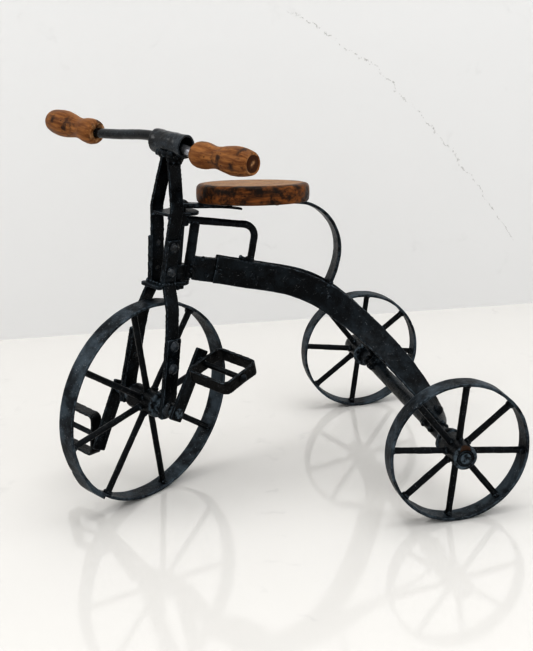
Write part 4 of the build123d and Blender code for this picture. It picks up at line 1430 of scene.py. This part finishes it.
@dataclass
class Studio:
    """Pale stone floor and wall, soft light and the camera."""

    wall_left: tuple = (-0.560, -0.280)
    wall_right: tuple = (-0.461, 0.523)
    wall_height: float = 3.0
    reach: float = 4.0
    eye: tuple = (1.0866, -0.2352, 0.5238)
    yaw: float = 77.7
    pitch: float = 17.96
    roll: float = -2.36
    lens: float = 76.9
    sensor: float = 36.0
    room_tint: tuple = (0.97, 0.985, 1.0, 1)
    room_light: float = 0.85
    # name, place, aim, size, watts, colour
    lights: tuple = (
        ("key_window", (0.2, -2.2, 1.9), (0.0, 0.0, 0.15), 1.2, 11.0, (1.0, 0.99, 0.97)),
        ("ceiling", (0.0, 0.3, 2.3), (0.0, 0.0, 0.0), 1.6, 13.0, (1.0, 1.0, 1.0)),
        ("side_fill", (1.9, 1.5, 1.2), (0.0, 0.0, 0.15), 0.8, 4.0, (0.96, 0.98, 1.0)),
    )

    def build_sheet(self, name: str, corners: list, material: bpy.types.Material) -> None:
        """A flat sheet of stone.

        Args:
            name: The sheet's name.
            corners: Its four corners in metres.
            material: Its finish.
        """
        mesh = bpy.data.meshes.new(name)
        mesh.from_pydata(corners, [], [(0, 1, 2, 3)])
        sheet = bpy.data.objects.new(name, mesh)
        bpy.context.scene.collection.objects.link(sheet)
        mesh.materials.append(material)

    def build(self) -> None:
        """Make the floor, the wall, the lights and the camera."""
        floor = PaleStone("polished_floor", (0.665, 0.648, 0.622, 1), (0.46, 0.45, 0.44, 1), rough=0.075,
                          vein_amount=0.25).build()
        vein = Crack(start=(0.157, 0.454), end=(0.494, 0.097), bow=0.045, thick=0.0022)
        wall = PaleStone("pale_wall", (0.715, 0.708, 0.698, 1), (0.34, 0.33, 0.31, 1), rough=0.55,
                         vein_amount=0.10, crack=vein, clear_back=True).build()
        r = self.reach
        self.build_sheet("floor", [(-r, -r, 0), (r, -r, 0), (r, r, 0), (-r, r, 0)], floor)
        left, right = Vector((*self.wall_left, 0)), Vector((*self.wall_right, 0))
        way = (right - left).normalized()
        a, b = left - way * r, right + way * r
        top = Vector((0, 0, self.wall_height))
        self.build_sheet("wall", [a, b, b + top, a + top], wall)
        for name, place, aim, size, watts, colour in self.lights:
            lamp = bpy.data.lights.new(name, "AREA")
            lamp.shape = "DISK"
            lamp.size = size
            lamp.energy = watts
            lamp.color = colour
            holder = bpy.data.objects.new(name, lamp)
            bpy.context.scene.collection.objects.link(holder)
            holder.location = place
            holder.rotation_euler = (Vector(aim) - Vector(place)).to_track_quat("-Z", "Y").to_euler()
        world = bpy.data.worlds.new("room")
        world.use_nodes = True
        room = world.node_tree.nodes["Background"]
        room.inputs["Color"].default_value = self.room_tint
        room.inputs["Strength"].default_value = self.room_light
        bpy.context.scene.world = world
        bpy.context.scene.view_settings.view_transform = "Standard"
        bpy.context.scene.view_settings.look = "High Contrast"
        self.build_camera()

    def build_camera(self) -> None:
        """The camera, at a standing adult's side view from the left."""
        yaw, pitch, roll = (math.radians(a) for a in (self.yaw, self.pitch, self.roll))
        back = Vector((math.sin(yaw) * math.cos(pitch), -math.cos(yaw) * math.cos(pitch), math.sin(pitch)))
        right = (-back).cross(Vector((0, 0, 1))).normalized()
        up = back.cross(right)
        turned = right * math.cos(roll) + up * math.sin(roll)
        upright = up * math.cos(roll) - right * math.sin(roll)
        lens = bpy.data.cameras.new("camera")
        lens.sensor_fit = "HORIZONTAL"
        lens.sensor_width = self.sensor
        lens.lens = self.lens
        camera = bpy.data.objects.new("camera", lens)
        bpy.context.scene.collection.objects.link(camera)
        camera.matrix_world = Matrix.Translation(Vector(self.eye)) @ Matrix(
            (turned, upright, back)).transposed().to_4x4()
        bpy.context.scene.camera = camera


# ---- the tricycle -------------------------------------------------------------------------
def dress_kept_nodes(iron: bpy.types.Material) -> None:
    """Give the CAD nodes that stay in view their finish.

    Args:
        iron: The finish.
    """
    for node in frame["nodes"].values():
        if node.hide_render:
            continue
        node.data.materials.clear()
        node.data.materials.append(iron)
        LOG.info("%s keeps its CAD shape", node.name)


def main() -> None:
    """Build the studio and every sub-assembly in order."""
    logging.basicConfig(level=logging.INFO, format="%(message)s")
    steered = ForkFrame.from_record()
    iron = PaintedIron("black_iron_paint").build()
    # the rim bands get paler paint than the rest of the iron: a painted reflection of the room on them
    rim = PaintedIron("rim_paint_with_painted_reflection", deep=(0.0060, 0.0082, 0.0108, 1), pale=(0.052, 0.067, 0.080, 1),
                      rough=(0.34, 0.58), bump=1.0, lump_scale=62.0, dust_and_sheen=0.30, chips=0.8).build()
    spoke = PaintedIron("spoke_paint", deep=(0.0018, 0.0024, 0.0032, 1), pale=(0.0055, 0.0075, 0.0095, 1),
                        bump=0.7, lump_scale=120.0).build()
    pedal = PaintedIron("pedal_paint", deep=(0.0030, 0.0030, 0.0032, 1), pale=(0.0095, 0.0092, 0.0092, 1),
                        bump=0.6, lump_scale=110.0).build()
    # rivet heads and the clamp get paler paint than the rest of the iron: a painted highlight on them
    rivet = PaintedIron("rivet_paint_with_painted_highlight", pale=(0.020, 0.027, 0.034, 1), rough=(0.14, 0.30), bump=0.4,
                        wear_and_glint=0.6, specular=0.42).build()
    bar = PatchedIron(
        PaintedIron("bar_paint", rough=(0.10, 0.22), bump=0.25, specular=0.4), "bar_paint_rubbed",
        tuple(steered.at(27.5, -21.5, 356.4)), 0.0100, (0.42, 0.42, 0.44, 1), 0.28, 0.85).build()
    hub_finish = PaintedIron("hub_paint", deep=(0.0024, 0.0027, 0.0032, 1),
                             pale=(0.0085, 0.0092, 0.0100, 1), bump=0.9)
    hub = hub_finish.build()
    grip_wood = OldWood(
        "grip_wood", stain=(0.110, 0.040, 0.012, 1), light=(0.290, 0.135, 0.048, 1),
        dark=(0.034, 0.018, 0.012, 1), worn_and_glint=(0.480, 0.290, 0.150, 1),
        end_face=(0.055, 0.019, 0.005, 1)).build()
    seat_wood = OldWood(
        "seat_wood", stain=(0.040, 0.016, 0.006, 1), light=(0.210, 0.080, 0.022, 1),
        # top and top_dark colour the paler up-facing top: rubbing and a painted sheen
        dark=(0.016, 0.009, 0.006, 1), worn_and_glint=(0.260, 0.150, 0.070, 1), top=(0.41, 0.238, 0.118, 1),
        top_dark=(0.19, 0.092, 0.040, 1), along="Y", blotch=(0.44, 0.60)).build()
    wheels = [
        SpokedWheel("front_wheel", "front_wheel_spin", "front_rim", "front_spokes", "front_hub",
                    103.7, 18.9, 13.0, (-18.5, 18.5), 5.0, spoke_shift=2.5),
    ]
    for side, sign in (("left", 1), ("right", -1)):
        wheels.append(SpokedWheel(
            f"rear_wheel_{side}", f"rear_wheel_{side}_spin", f"rear_rim_{side}", f"rear_spokes_{side}",
            f"rear_hub_{side}", 70.0, 18.7, 12.0, (-19.4, 20.1), 5.28, recess=(8.2, 2.9), outward=sign))
    wheels[0].build(rim, spoke, hub)
    for wheel in wheels[1:]:
        rusty = PatchedIron(
            replace(hub_finish, name=f"{wheel.body}_hub_paint"), f"{wheel.body}_hub_rusty",
            tuple(wheel.rust_spot()), radius=0.0050, patch=(0.052, 0.027, 0.015, 1), patch_rough=0.75,
            metal=0.0).build()
        wheel.build(rim, spoke, rusty)
    FrontDrive(wheels[0]).build(iron, pedal, rim)
    Fork(steered).build(iron, rivet, bar, grip_wood)
    Backbone().build(iron, hub)
    WoodenSeat().build(seat_wood)
    dress_kept_nodes(iron)
    Studio().build()


if __name__ == "__main__":
    main()
